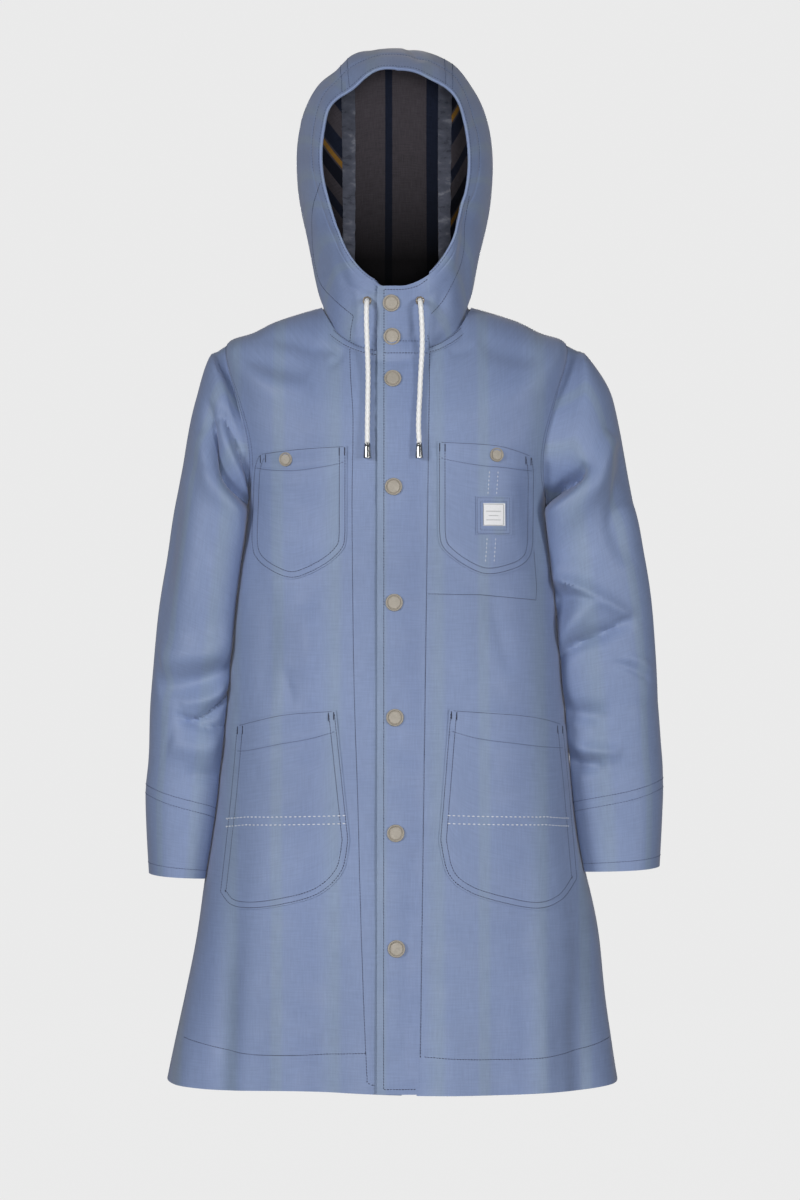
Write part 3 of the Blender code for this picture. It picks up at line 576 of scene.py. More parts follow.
def tree_of(*grids):
    """A tree for finding places on surfaces, in millimetres."""
    points, faces = [], []
    for rows in grids:
        start, wide = len(points), rows.shape[1]
        points += [Vector(p) for p in rows.reshape(-1, 3)]
        for r in range(rows.shape[0] - 1):
            a = start + r * wide
            faces += [(a + k, a + k + wide, a + k + wide + 1, a + k + 1) for k in range(wide - 1)]
    return BVHTree.FromPolygons(points, faces)


def looked_at(tree, x, z, reach=2000):
    """The place and outward normal that a look from the front meets at x, z, or two Nones."""
    place, normal, _, _ = tree.ray_cast(Vector((x, -1000, z)), Vector((0, 1, 0)), reach)
    if place is not None and normal.y > 0:
        normal = -normal
    return place, normal


def seen_from_front(tree, x, z):
    """The place and outward normal on a surface at x, z, or at the nearest place that meets it."""
    reach = 850 if abs(x) < 60 and z > -70 else 2000  # not through the hood's opening
    for drop in (0, 1.5, -1.5, 3, -3, 5, -5):
        place, normal = looked_at(tree, x, z + drop, reach)
        if place is not None:
            return np.array((x, place.y, z)), np.array(normal)
    for shrink in (0.985, 0.97, 0.955, 0.94, 0.92, 0.9, 0.87):
        place, normal = looked_at(tree, x * shrink, z)
        if place is not None:
            return np.array(place), np.array(normal)
    raise ValueError(f"nothing is in front at {x}, {z}")


def stripes_across(places):
    """What the stripes are counted by, so that they run on from one panel to the next."""
    return places[..., 0] + 400


def on_face(x, z, out=0.0):
    place, normal = seen_from_front(FACE, x, z)
    return place + normal * out


# ---- Materials ---------------------------------------------------------------------------------
class Nodes:
    """Short names for building a node tree."""

    def __init__(self, name):
        self.material = bpy.data.materials.new(name)
        self.material.use_nodes = True
        self.tree = self.material.node_tree
        self.shader = self.tree.nodes["Principled BSDF"]

    def add(self, kind, inputs=None, **settings):
        node = self.tree.nodes.new(kind)
        for key, value in settings.items():
            setattr(node, key, value)
        for key, value in (inputs or {}).items():
            self.put(node.inputs[key], value)
        return node

    def put(self, socket, value):
        if isinstance(value, bpy.types.NodeSocket):
            self.tree.links.new(value, socket)
        else:
            socket.default_value = value

    def set(self, **values):
        for key, value in values.items():
            self.put(self.shader.inputs[key.replace("_", " ")], value)

    def math(self, operation, a, b=0.0):
        node = self.add("ShaderNodeMath", operation=operation)
        self.put(node.inputs[0], a)
        self.put(node.inputs[1], b)
        return node.outputs[0]

    def mix(self, share, a, b, blend="MIX"):
        node = self.add("ShaderNodeMix", data_type="RGBA", blend_type=blend)
        self.put(node.inputs["Factor"], share)
        self.put(node.inputs[6], a)
        self.put(node.inputs[7], b)
        return node.outputs[2]

    def noise(self, vector, scale, detail=2.0, rough=0.5):
        inputs = {"Vector": vector, "Scale": scale, "Detail": detail, "Roughness": rough}
        return self.add("ShaderNodeTexNoise", inputs).outputs["Fac"]

    def stretched(self, vector, sizes):
        node = self.add("ShaderNodeVectorMath", {0: vector, 1: sizes}, operation="MULTIPLY")
        return node.outputs[0]

    def ramp(self, value, stops, smooth=False):
        node = self.add("ShaderNodeValToRGB", {"Fac": value})
        node.color_ramp.interpolation = "EASE" if smooth else "LINEAR"
        elements = node.color_ramp.elements
        while len(elements) < len(stops):
            elements.new(0.5)
        for element, (at, colour) in zip(elements, stops):
            element.position = at
            element.color = colour if len(colour) == 4 else (*colour, 1)
        return node.outputs["Color"]

    def tones(self, value, low, high):
        """A ramp over the middle of a noise's range, between two greys or two colours."""
        ends = [grey(end) if isinstance(end, float) else end for end in (low, high)]
        return self.ramp(value, [(0.3, ends[0]), (0.7, ends[1])])

    def relief(self, height, strength, distance, onto=None):
        inputs = {"Height": height, "Strength": strength, "Distance": distance}
        if onto:
            inputs["Normal"] = onto
        return self.add("ShaderNodeBump", inputs).outputs["Normal"]

    def cloth_uv(self):
        return self.add("ShaderNodeUVMap", uv_map="cloth").outputs["UV"]

    def object_place(self):
        return self.add("ShaderNodeTexCoord").outputs["Object"]


def grey(value):
    return (value, value, value)


def shade(colour, amount):
    return tuple(c * amount for c in colour)


def weave(n, uv, per_metre):
    """The height of a woven cloth: threads both ways, uneven as spun yarn is."""
    warp = n.noise(n.stretched(uv, (per_metre, per_metre / 14, 1)), 1.0, 2.0)
    weft = n.noise(n.stretched(uv, (per_metre / 14, per_metre, 1)), 1.0, 2.0)
    return n.math("ADD", warp, weft)


def coated_cloth():
    """Rubberised cloth: satin blue over a weave, with the backing's stripes showing faintly."""
    n = Nodes("coated_cloth")
    uv = n.cloth_uv()
    across = n.add("ShaderNodeSeparateXYZ", {0: uv}).outputs[0]
    repeat = n.math("FRACT", n.math("DIVIDE", across, 0.118))
    blue, green, deep = (0.198, 0.26, 0.43), (0.211, 0.277, 0.414), (0.186, 0.246, 0.418)
    stops = [
        (0.0, blue), (0.16, blue), (0.2, green), (0.27, green), (0.31, blue), (0.5, deep),
        (0.58, deep), (0.66, blue), (0.78, green), (0.82, green), (0.88, blue), (1.0, blue),
    ]
    striped = n.ramp(repeat, stops)
    slubs = weave(n, uv, 620)
    tone = n.tones(n.math("MULTIPLY", slubs, 0.5), 0.9, 1.08)
    clouds = n.tones(n.noise(n.object_place(), 7.0, 3.0), 0.94, 1.04)
    colour = n.mix(1.0, n.mix(1.0, striped, tone, "MULTIPLY"), clouds, "MULTIPLY")
    rough = n.tones(n.noise(uv, 30.0, 3.0), 0.5, 0.62)
    fine = n.relief(slubs, 0.22, 0.0004)
    slack = n.relief(n.noise(n.object_place(), 22.0, 2.0), 0.25, 0.004, fine)
    n.set(Base_Color=colour, Roughness=rough, Normal=slack, Specular_IOR_Level=0.4)
    n.set(Sheen_Weight=0.22, Sheen_Roughness=0.45, Sheen_Tint=(0.95, 0.9, 0.86, 1))
    return n.material


def lining(name, stripes, period, shaded=False):
    """The woven backing: charcoal with navy and mustard stripes, given as start, end, colour.

    A shaded one is darker towards the neck: painted shade for the shadow low inside the hood.
    """
    n = Nodes(name)
    uv = n.cloth_uv()
    across = n.add("ShaderNodeSeparateXYZ", {0: uv}).outputs[0]
    repeat = n.math("FRACT", n.math("DIVIDE", across, period))
    plain = (0.145, 0.128, 0.148)
    stops = [(0.0, plain)]
    for start, end, tint in stripes:
        stops += [(start - 0.004, plain), (start, tint), (end, tint), (end + 0.004, plain)]
    striped = n.ramp(repeat, stops)
    threads = weave(n, uv, 900)
    tone = n.tones(n.math("MULTIPLY", threads, 0.5), 0.72, 1.25)
    colour = n.mix(1.0, striped, tone, "MULTIPLY")
    if shaded:
        # Painted shade: the colour darkens lower down, towards the neck seam, for the shadow that falls
        # there.
        height = n.add("ShaderNodeSeparateXYZ", {0: n.object_place()}).outputs[2]
        depths = [(0.28, grey(0.05)), (0.6, grey(0.5)), (1.0, grey(0.95))]
        neck_shade = n.ramp(n.math("MULTIPLY", height, 4.0), depths)
        colour = n.mix(1.0, colour, neck_shade, "MULTIPLY")
    n.set(Base_Color=colour, Roughness=0.82, Specular_IOR_Level=0.15)
    n.set(Normal=n.relief(threads, 0.35, 0.0004), Sheen_Weight=0.05, Sheen_Roughness=0.5)
    return n.material


def seam_tape():
    """Sealing tape: satin film with wrinkles, its colour paler on their crests as a painted highlight.
    """
    n = Nodes("seam_tape")
    place = n.object_place()
    wrinkles = n.noise(n.stretched(place, (1.0, 1.0, 2.2)), 55.0, 4.0, 0.6)
    # Painted shade and highlight: the colour runs from dark to pale grey with the wrinkles' noise,
    # standing in for the light the wrinkles catch.
    stops = [(0.3, (0.12, 0.13, 0.17)), (0.58, (0.2, 0.215, 0.28)), (0.78, (0.5, 0.52, 0.6))]
    n.set(Base_Color=n.ramp(wrinkles, stops), Roughness=n.tones(wrinkles, 0.22, 0.5))
    n.set(Normal=n.relief(wrinkles, 0.3, 0.001))
    return n.material


def plated(name, colour, rough, grain, metal):
    """A plated metal with a fine tumbled grain."""
    n = Nodes(name)
    place = n.object_place()
    speckle = n.noise(place, grain, 3.0)
    n.set(Base_Color=n.tones(speckle, shade(colour, 0.82), shade(colour, 1.12)), Metallic=metal)
    n.set(Roughness=n.tones(n.noise(place, grain / 5), rough - 0.07, rough + 0.07))
    n.set(Normal=n.relief(speckle, 0.12, 0.0003))
    return n.material


def braid(name, colour):
    """Polyester cord: soft filaments."""
    n = Nodes(name)
    hair = n.noise(n.object_place(), 2600.0, 2.0)
    stops = [(0.3, shade(colour, 0.84)), (0.65, colour)]
    n.set(Base_Color=n.ramp(hair, stops), Roughness=0.8)
    n.set(Normal=n.relief(hair, 0.3, 0.0004), Sheen_Weight=0.3, Sheen_Roughness=0.4)
    return n.material


def thread(name, colour):
    """Sewing thread, and the fine weave of the label."""
    n = Nodes(name)
    twist = n.noise(n.object_place(), 3000.0, 2.0)
    n.set(Base_Color=n.tones(twist, shade(colour, 0.7), colour), Roughness=0.65)
    n.set(Normal=n.relief(twist, 0.2, 0.0002))
    return n.material


NAVY, INK, MUSTARD = (0.026, 0.035, 0.07), (0.018, 0.022, 0.04), (0.62, 0.32, 0.06)
OUTSIDE = coated_cloth()
INSIDE = lining(
    "inner_cloth",
    [(0.1, 0.17, NAVY), (0.4, 0.52, NAVY), (0.53, 0.55, MUSTARD), (0.56, 0.63, INK)],
    0.19,
)
# Across the hood's centre panel, from one seam to the other.
HOOD_INSIDE = lining(
    "inner_cloth_hood",
    [(0.055, 0.078, MUSTARD), (0.088, 0.205, NAVY), (0.545, 0.61, NAVY)],
    0.13,
    True,
)
SIDE_INSIDE = lining(
    "inner_cloth_side",
    [(0.1, 0.28, NAVY), (0.31, 0.37, MUSTARD), (0.4, 0.56, INK), (0.74, 0.86, NAVY)],
    0.1,
    True,
)
TAPE = seam_tape()
SNAP = plated("snap_metal", (0.37, 0.335, 0.285), 0.6, 900.0, 0.2)
EYELET = plated("eyelet_metal", (0.5, 0.42, 0.33), 0.36, 900.0, 0.7)
CHROME = plated("bell_metal", (0.52, 0.52, 0.52), 0.14, 300.0, 1.0)
DARK_METAL = plated("bell_groove", (0.06, 0.06, 0.06), 0.4, 300.0, 0.6)
CORD = braid("cord_white", (0.93, 0.93, 0.92))
DARK_THREAD = thread("thread_navy", (0.025, 0.031, 0.062))
BLUE_THREAD = thread("thread_blue", (0.085, 0.11, 0.2))
PALE_THREAD = thread("thread_pale", (0.85, 0.87, 0.92))
WOVEN_LABEL = thread("label_cloth", (0.93, 0.93, 0.95))

# ---- Stitches ----------------------------------------------------------------------------------
STITCH = [(-1, 0.35), (-0.6, 0.95), (0, 1.05), (0.6, 0.95), (1, 0.35)]  # along, and its girth there
SIDES = 6


def stitches(name, lines, body, made_of, long=2.5, pitch=3.3, thick=0.42):
    """Rows of topstitching as one piece. A line is its points and the cloth's normals there."""
    turn = np.arange(SIDES) * 2 * math.pi / SIDES
    ring = np.stack([np.cos(turn), np.sin(turn)], axis=1)
    points, faces = [], []
    for line, normals in lines:
        line, normals = np.asarray(line, float), np.asarray(normals, float)
        far = walked(line)
        count = max(int(far[-1] / pitch), 1)
        at = (np.arange(count) + 0.5) * far[-1] / count
        middle = placed(line, far, at)
        ahead = placed(line, far, at + long / 2) - placed(line, far, at - long / 2)
        ahead /= np.maximum(np.linalg.norm(ahead, axis=1, keepdims=True), 1e-6)
        up = placed(normals, far, at)
        up /= np.linalg.norm(up, axis=1, keepdims=True)
        side = np.cross(ahead, up)
        for m, a, u, s in zip(middle, ahead, up, side):
            first = len(points)
            for share, girth in STITCH:
                sink = 0.1 - 0.55 * thick * share**4
                centre = m + a * share * long / 2 + u * sink
                points += [centre + thick * girth * (s * p + u * q * 0.8) for p, q in ring]
            for k in range(len(STITCH) - 1):
                for j in range(SIDES):
                    i, o = first + k * SIDES + j, first + k * SIDES + (j + 1) % SIDES
                    faces.append((i, o, o + SIDES, i + SIDES))
            faces.append(tuple(first + j for j in range(SIDES))[::-1])
            last = first + (len(STITCH) - 1) * SIDES
            faces.append(tuple(last + j for j in range(SIDES)))
    mesh = bpy.data.meshes.new(name)
    mesh.from_pydata((np.array(points) * MM).tolist(), [], faces)
    mesh.shade_smooth()
    made = add_mesh(name, mesh, [made_of])
    return made if body is None else dress(made, body, None)


def on_front_line(path, tree=None, out=0.0, count=60):
    """A line of places and normals on the front, through x, z points; corners stay corners."""
    line = evenly(path, count)
    found = [seen_from_front(tree or FACE, x, z) for x, z in line]
    places, normals = [np.array(each) for each in zip(*found)]
    return places + normals * out, normals


def on_grid_line(rows, inside, pick, closed=False):
    """A line of a grid's own points and normals."""
    normals = normals_of(rows, inside, closed)
    line, out = rows[pick], normals[pick]
    if closed:
        line, out = np.vstack([line, line[:1]]), np.vstack([out, out[:1]])
    return line, out


# ---- Body --------------------------------------------------------------------------------------
INSIDE_COAT = np.array([0, -100, -450])
INSIDE_HOOD = np.array([0, -70, 120])
OPENING_MIDDLE = np.array([0, -190, 140])
BEFORE_OPENING = np.array([0, -400, 120])
BODY_ROWS = even_steps(lambda u: body_loop(u, 0.0), HEM)
ARMHOLE_ROWS = [r for r, u in enumerate(BODY_ROWS) if 0.2 < u < ARMPIT - 0.15]
SIDE_ROWS = [r for r, u in enumerate(BODY_ROWS) if u > ARMPIT + 0.3]
ACROSS_FRONT, ACROSS_BACK = 66, 130
HEM_SEAM_Z = -862
AT_NECK = ease(0.0, 0.14, BODY_ROWS)[:, None]  # folds die away at the neck seam
BACKED, SELF_FACED = [OUTSIDE, INSIDE], [OUTSIDE, OUTSIDE]


def coat_cloth(node, rows, materials, thick, stripe=None, body="coat", slot="coated_cloth"):
    """A piece of cloth on the coat, named after the node that it stands for."""
    piece = add_grid(node + "_cloth", rows, INSIDE_COAT, materials, thick, stripe=stripe)
    return dress(piece, body, slot, node)


def body_rows(start, end, count):
    """Rows of points round the body between two angles, each given for a table position."""
    rows = []
    for u in BODY_ROWS:
        dense = body_loop(u, np.linspace(start(u), end(u), 160))
        rows.append(evenly(dense, count))
    return np.array(rows)


def front_grid(side):
    """A front panel: its columns run from the closing to the side, its rows from neck to hem."""
    sign = 1 if side == "left" else -1

    def near(u):
        z = along(BODY, u)[1]
        return body_angle_at(u, hinge_x(z) - 1.5 if sign > 0 else LAPPED_TO)

    rows = body_rows(near, lambda u: sign * side_angle(u), ACROSS_FRONT)
    relief = body_relief(rows, True) * AT_NECK
    if sign < 0:
        relief -= LAP_SINK * ease(*LAP_EDGE, rows[..., 0])
    else:
        hinge = hinge_x(rows[:, :1, 2])
        relief -= 0.5 * ease(0.6, -0.4, rows[..., 0] - hinge)
    return leaned(pushed(rows, INSIDE_COAT, relief))


def whole_front():
    """The coat's face across the front without the closing, which sewn-on pieces follow."""
    rows = body_rows(lambda u: -math.pi / 2, lambda u: math.pi / 2, 150)
    return leaned(pushed(rows, INSIDE_COAT, body_relief(rows, True) * AT_NECK))


def back_grid():
    rows = body_rows(
        lambda u: math.pi - side_angle(u), lambda u: math.pi + side_angle(u), ACROSS_BACK
    )
    return leaned(pushed(rows, INSIDE_COAT, body_relief(rows, False) * AT_NECK))


FRONTS = {side: front_grid(side) for side in ("left", "right")}
BACK = back_grid()


def body_panels():
    for side in ("left", "right"):
        rows = FRONTS[side]
        coat_cloth(f"front_panel_{side}", rows, BACKED, CLOTH, stripes_across(rows))
        lines = [on_grid_line(rows, INSIDE_COAT, (ARMHOLE_ROWS, k)) for k in (-2, -4)]
        stitches(f"armhole_stitching_{side}", lines, "coat", BLUE_THREAD)
        lines = [on_grid_line(rows, INSIDE_COAT, (SIDE_ROWS, -2))]
        stitches(f"side_stitching_{side}", lines, "coat", BLUE_THREAD)
    rows = BACK
    coat_cloth("back_panel", rows, BACKED, CLOTH, stripes_across(rows))
    hem = int(np.argmin(np.abs(rows[:, ACROSS_BACK // 2, 2] - HEM_SEAM_Z)))
    lines = [on_grid_line(rows, INSIDE_COAT, (hem, slice(None)))]
    lines += [on_grid_line(rows, INSIDE_COAT, (ARMHOLE_ROWS, k)) for k in (1, 3, -2, -4)]
    lines += [on_grid_line(rows, INSIDE_COAT, (SIDE_ROWS, k)) for k in (1, -2)]
    stitches("back_stitching", lines, "coat", BLUE_THREAD)


def hem_facing():
    """The turned-up hem, inside the skirt."""
    rows = []
    for u in np.linspace(HEM - 0.95, HEM - 0.03, 12):
        start = body_angle_at(u, HINGE_X_AT_HEM + 12)
        end = 2 * math.pi + body_angle_at(u, -50)
        rows.append(evenly(body_loop(u, np.linspace(start, end, 500)), 240))
    rows = np.array(rows)
    front = rows[..., 1] < SIDE_Y
    relief = np.where(front, body_relief(rows, True), body_relief(rows, False)) - 2.2
    rows = leaned(pushed(rows, INSIDE_COAT, relief))
    coat_cloth("hem_facing", rows, SELF_FACED, THIN)


def side_tapes():
    """Sealing tapes along the side seams, inside the coat."""
    down, across, half_turn = 160, 9, 0.035
    for side, middle in (("left", math.pi / 2), ("right", -math.pi / 2)):
        turns = middle + np.linspace(-half_turn, half_turn, across)
        levels = np.linspace(ARMPIT + 0.3, HEM - 1.1, down)
        rows = np.array([evenly(body_loop(u, turns), across) for u in levels])
        rows = pushed(rows, INSIDE_COAT, np.full((down, across), -2.0))
        name = f"side_seam_tape_{side}"
        piece = add_grid(name + "_film", leaned(rows), INSIDE_COAT, [TAPE], THIN)
        dress(piece, "coat", "seam_tape", name)


# ---- Hood --------------------------------------------------------------------------------------
def hood_angles(v):
    """Angles on a hood loop: the left front edge, the seams, and the right front edge."""
    quarter = np.linspace(0, math.pi / 2, 90)
    front_x = hood_loop(v, quarter)[:, 0]
    high = np.linspace(math.pi / 2, math.pi, 90)
    seam_x = hood_loop(v, high)[::-1, 0]
    seam_at = np.interp(SEAM_X, seam_x, high[::-1])
    return {
        "left": np.interp(hinge_x(0) + 0.3, front_x, quarter),
        "seam": seam_at,
        "right": 2 * math.pi + np.interp(LAPPED_TO, front_x, quarter),
    }


def dips(angle):
    """How far the opening's edge is drawn in at an angle."""
    degrees = (np.degrees(angle) + 180) % 360 - 180
    return sum(depth * bump(at, spread, degrees) for at, spread, depth in EDGE_DIPS)


def hood_strip(v, start, end, count):
    """Points and their angles on a hood loop, drawn in by the dips near the opening."""
    dense = np.linspace(start, end, 240)
    line = hood_loop(v, dense)
    fade = max(0.0, 1 - v / 1.6)
    if fade:
        towards = OPENING_MIDDLE - line
        towards[:, 1] = 0
        towards /= np.linalg.norm(towards, axis=1, keepdims=True)
        line = line + towards * (dips(dense) * fade)[:, None]
    far = walked(line)
    angles = np.interp(np.linspace(0, far[-1], count), far, dense)
    return evenly(line, count), angles


HOOD_ROWS = even_steps(lambda v: plain_hood_loop(v, math.pi), HOOD_LAST)
HOOD_PARTS = {
    "hood_side_panel_left": ("left", "seam", 90),
    "hood_centre_panel": ("seam", "other seam", 60),
    "hood_side_panel_right": ("other seam", "right", 100),
}


def hood_grid(part, inner=False):
    """A hood panel's outer face, or the facing inside the opening; both end on the rolled edge."""
    first, last, count = HOOD_PARTS[part]
    rows, angles = [], []
    reach = HOOD_ROWS if not inner else HOOD_ROWS[HOOD_ROWS < 1.05]
    for v in reach:
        marks = hood_angles(v)
        marks["other seam"] = 2 * math.pi - marks["seam"]
        row, turns = hood_strip(v, marks[first], marks[last], count)
        rows.append(row)
        angles.append(turns)
    rows, angles = np.array(rows), np.array(angles)
    v = np.repeat(np.asarray(reach)[:, None], count, axis=1)
    out = normals_of(rows, INSIDE_HOOD)
    relief = hood_relief(rows, v, angles)
    if last == "right":
        low = (rows[..., 1] < -150) * (rows[..., 2] < 45)
        relief -= LAP_SINK * ease(*LAP_EDGE, rows[..., 0]) * low
        rows[..., 2] -= 3.5 * ease(-27, -20, rows[..., 0]) * low * ease(2.0, 0.0, v)
    if inner:
        relief = relief - 2 * RIM - 3.6 * bump(CORD_AT, 0.3, v) * ease(20, 70, rows[..., 2])
    rows = rows + out * relief[..., None]
    out = normals_of(rows, INSIDE_HOOD)
    forward = rows[0] - rows[1]
    forward -= np.sum(forward * out[0], axis=1, keepdims=True) * out[0]
    forward /= np.linalg.norm(forward, axis=1, keepdims=True)
    sign = -1 if inner else 1
    centre = rows[0] - out[0] * RIM * sign
    rim = [
        centre + RIM * (sign * out[0] * math.cos(a) + forward * math.sin(a))
        for a in np.linspace(math.pi / 2, 0, RIM_ROWS + 1)[:-1]
    ]
    return np.concatenate([np.array(rim), rows])


def hood_panels():
    grids = {part: hood_grid(part) for part in HOOD_PARTS}
    for part, rows in grids.items():
        centre = part == "hood_centre_panel"
        backing = HOOD_INSIDE if centre else SIDE_INSIDE
        wide = rows.shape[1]
        stripe = np.tile(np.linspace(0, 130 if centre else 250, wide), (len(rows), 1))
        if not centre:  # the sides' stripes lean, and each side starts at its own place
            slope, start = (0.8, 500) if part.endswith("left") else (-0.8, 576)
            stripe = stripe + slope * rows[..., 2] + start
        piece = add_grid(part + "_cloth", rows, INSIDE_HOOD, [OUTSIDE, backing], CLOTH, stripe=stripe)
        nodes = [part, "hood_base"] if part.endswith("left") else [part]
        bend(piece, ("coat", "hood"), HOOD_BEND, "coated_cloth", *nodes)
        facing = hood_grid(part, inner=True)
        piece = add_grid(part + "_facing", facing, BEFORE_OPENING, [OUTSIDE], 0)
        nodes = ["hood_brim_facing"] if centre else []
        bend(piece, ("coat", "hood"), HOOD_BEND, "coated_cloth", *nodes)
    lines = []
    down = np.arange(RIM_ROWS + 1, len(HOOD_ROWS) + RIM_ROWS - 2)
    for part, columns in (
        ("hood_side_panel_left", (-3,)),
        ("hood_centre_panel", (2, -3)),
        ("hood_side_panel_right", (2,)),
    ):
        rows = grids[part]
        lines += [on_grid_line(rows, INSIDE_HOOD, (down, k)) for k in columns]
    channel = RIM_ROWS + int(np.argmin(np.abs(HOOD_ROWS - CHANNEL)))
    for part, rows in grids.items():
        line, out = on_grid_line(rows, INSIDE_HOOD, (channel, slice(None)))
        keep = line[:, 2] > 150
        lines.append((line[keep], out[keep]))
        line, out = on_grid_line(rows, INSIDE_HOOD, (RIM_ROWS + 1, slice(None)))
        keep = (line[:, 2] > 24) | (line[:, 0] > 40)
        lines.append((line[keep], out[keep]))
    bend(stitches("hood_stitching", lines, None, BLUE_THREAD), ("coat", "hood"), HOOD_BEND, None)
    return grids


def hood_tapes():
    """Sealing tapes along the hood's two seams, inside it, a little wrinkled."""
    across, half = 11, 9.5
    for side in ("left", "right"):
        rows = []
        for v in HOOD_ROWS[(HOOD_ROWS > 1.1) & (HOOD_ROWS < 8.6)]:
            at = hood_angles(v)["seam"]
            at = at if side == "left" else -at
            dense = hood_loop(v, np.linspace(at - 0.16, at + 0.16, 80))
            middle = np.argmin(np.abs(np.abs(dense[:, 0]) - SEAM_X))
            far = walked(dense) - walked(dense)[middle]
            rows.append(placed(dense, far, np.linspace(-half, half, across)))
        rows = np.array(rows)
        wrinkles = np.sin(np.arange(len(rows)) * 0.9)[:, None] * np.cos(np.arange(across) * 0.5)
        depth = -2.2 - 0.5 * wrinkles
        rows = pushed(rows, INSIDE_HOOD, depth)
        name = f"hood_seam_tape_{side}"
        piece = add_grid(name + "_film", rows, INSIDE_HOOD, [TAPE], THIN)
        bend(piece, ("coat", "hood"), HOOD_BEND, "seam_tape", name)


# ---- Sleeves -----------------------------------------------------------------------------------
AROUND = 110
TURNS = np.linspace(0, 2 * math.pi, AROUND + 1)[:-1]


def armhole_loop(side, column, sink):
    """The body's own edge round the armhole, or a column nearer its middle, sunk into the coat."""
    points = []
    for t in TURNS:
        front = t <= math.pi
        share = (t if front else 2 * math.pi - t) / math.pi
        u = SHOULDER + (ARMPIT - SHOULDER) * share
        grid = FRONTS[side] if front else BACK
        pick = column if side == "left" and not front else -1 - column
        place, out = [
            np.array([np.interp(u, BODY_ROWS, values[:, pick, k]) for k in range(3)])
            for values in (grid, EDGE_NORMALS[id(grid)])
        ]
        points.append(place - out * sink)
    return np.array(points)


EDGE_NORMALS = {id(grid): normals_of(grid, INSIDE_COAT) for grid in (*FRONTS.values(), BACK)}


def sleeve_loop(side, v):
    """A ring round the sleeve at table position v."""
    sign = 1 if side == "left" else -1
    out_x, out_z, in_x, in_z, deep = along(SLEEVE, v)
    c, s = np.cos(TURNS), np.sin(TURNS)
    x = (out_x + in_x) / 2 + (out_x - in_x) / 2 * c
    z = (out_z + in_z) / 2 + (out_z - in_z) / 2 * c
    return np.stack([sign * x, SIDE_Y - deep * s, z], axis=-1)


def sleeve_grids(side):
    """The sleeve from the armhole to the cuff's seam, and the cuff below it."""
    armhole, first = armhole_loop(side, 0, 0.2), sleeve_loop(side, 0)
    stations = [armhole_loop(side, 1, 1.8), armhole, armhole * 0.45 + first * 0.55, first]
    stations += [sleeve_loop(side, v) for v in range(1, CUFF_END + 1)]
    stations = np.array(stations)
    cuff_at = CUFF_START + 3  # three stations come before the table's own
    steps = even_steps(lambda t: along(stations, t).mean(axis=0), len(stations) - 1)
    rows = np.array([along(stations, t) for t in steps])
    middles = rows.mean(axis=1, keepdims=True)
    mirror = 1 if side == "left" else -1
    x, z = rows[..., 0], rows[..., 2]
    frontness = np.sin(TURNS)[None, :]
    relief = all_folds(x, z, SLEEVE_FOLDS[side]) * ease(0.0, 0.45, frontness)
    relief += all_folds(mirror * x, z, SLEEVE_BACK_FOLDS) * ease(0.0, 0.45, -frontness)
    relief += ripples(x + rows[..., 1], z, 38, 1.3)
    relief *= SLEEVE_FOLD_DEPTH * ease(0.9, 2.6, steps)[:, None]
    relief *= 1 - ease(cuff_at - 0.7, cuff_at + 0.1, steps)[:, None] * 0.75  # cuffs are stiffer
    rows = pushed(rows, middles, relief, closed=True)
    rows[..., 0] += SLEEVE_LEAN * ease(-40, -110, rows[..., 2]) * ease(1.1, 2.8, steps)[:, None]
    rows[..., 2] += SLEEVE_RISE[side] * ease(-300, -640, rows[..., 2])
    rows = hugged(rows, mirror)
    cut = int(np.argmin(np.abs(steps - cuff_at)))
    return rows, cut


def hugged(rows, sign):
    """The sleeve's inner side lies against the coat's side, a little in front of it."""
    rows = np.array(rows)
    table = np.array(BODY, float)
    side_x = np.interp(-rows[..., 2], -table[:, 4], table[:, 2])
    corner = bump(math.radians(142), math.radians(40), TURNS)[None, :]
    weight = corner * ease(-200, -244, rows[..., 2])
    rows[..., 0] += weight * (sign * (side_x - 4) - 5 * (rows[..., 2] / 905) ** 2 - rows[..., 0])
    for r in range(rows.shape[0]):
        for k in np.flatnonzero(np.cos(TURNS) < 0.3):
            x, y, z = rows[r, k]
            if z > -215:
                continue
            place, _, _, _ = BODY_TREE.ray_cast(Vector((sign * 500, y, z)), Vector((-sign, 0, 0)))
            if place is not None:
                rows[r, k, 0] = sign * max(sign * x, sign * place.x + 1.6)
    return rows


def sleeves():
    for side in ("left", "right"):
        rows, cut = sleeve_grids(side)
        middles = rows.mean(axis=1, keepdims=True)
        sign = 1 if side == "left" else -1
        stripe = np.tile(np.abs(TURNS - math.pi) / (2 * math.pi) * 420, (len(rows), 1))
        upper = add_grid(
            f"sleeve_{side}_cloth", rows[: cut + 1], middles[: cut + 1], [OUTSIDE, INSIDE], CLOTH,
            closed=True, stripe=stripe[: cut + 1],
        )
        ends = [(sign * x, y, z) for x, y, z in SLEEVE_BEND]
        bodies = ("coat", f"arm_{side}")
        bend(upper, bodies, ends, "coated_cloth", f"sleeve_{side}")
        cuff_rows = pushed(rows[cut:], middles[cut:], np.full(rows[cut:].shape[:2], 0.15), closed=True)
        cuff = add_grid(
            f"cuff_{side}_cloth", cuff_rows, middles[cut:], [OUTSIDE, INSIDE], 1.6 * CLOTH, closed=True,
            stripe=stripe[cut:],
        )
        dress(cuff, f"arm_{side}", "coated_cloth", f"cuff_{side}")
        lines = [on_grid_line(rows, middles, (cut + k, slice(None)), True) for k in (-2, 1)]
        lines.append(on_grid_line(rows, middles, (len(rows) - 4, slice(None)), True))
        lines = [(line + out * 0.15, out) for line, out in lines]
        stitches(f"cuff_stitching_{side}", lines, f"arm_{side}", BLUE_THREAD)


# ---- Front closing -----------------------------------------------------------------------------
def strip_lift(x, z):
    """The strip's top edge rises to join the edge of the hood's opening."""
    return 13.5 * max(0.0, (x - 6) / 32) ** 1.6 * ease(-50, STRIP_TOP, z)


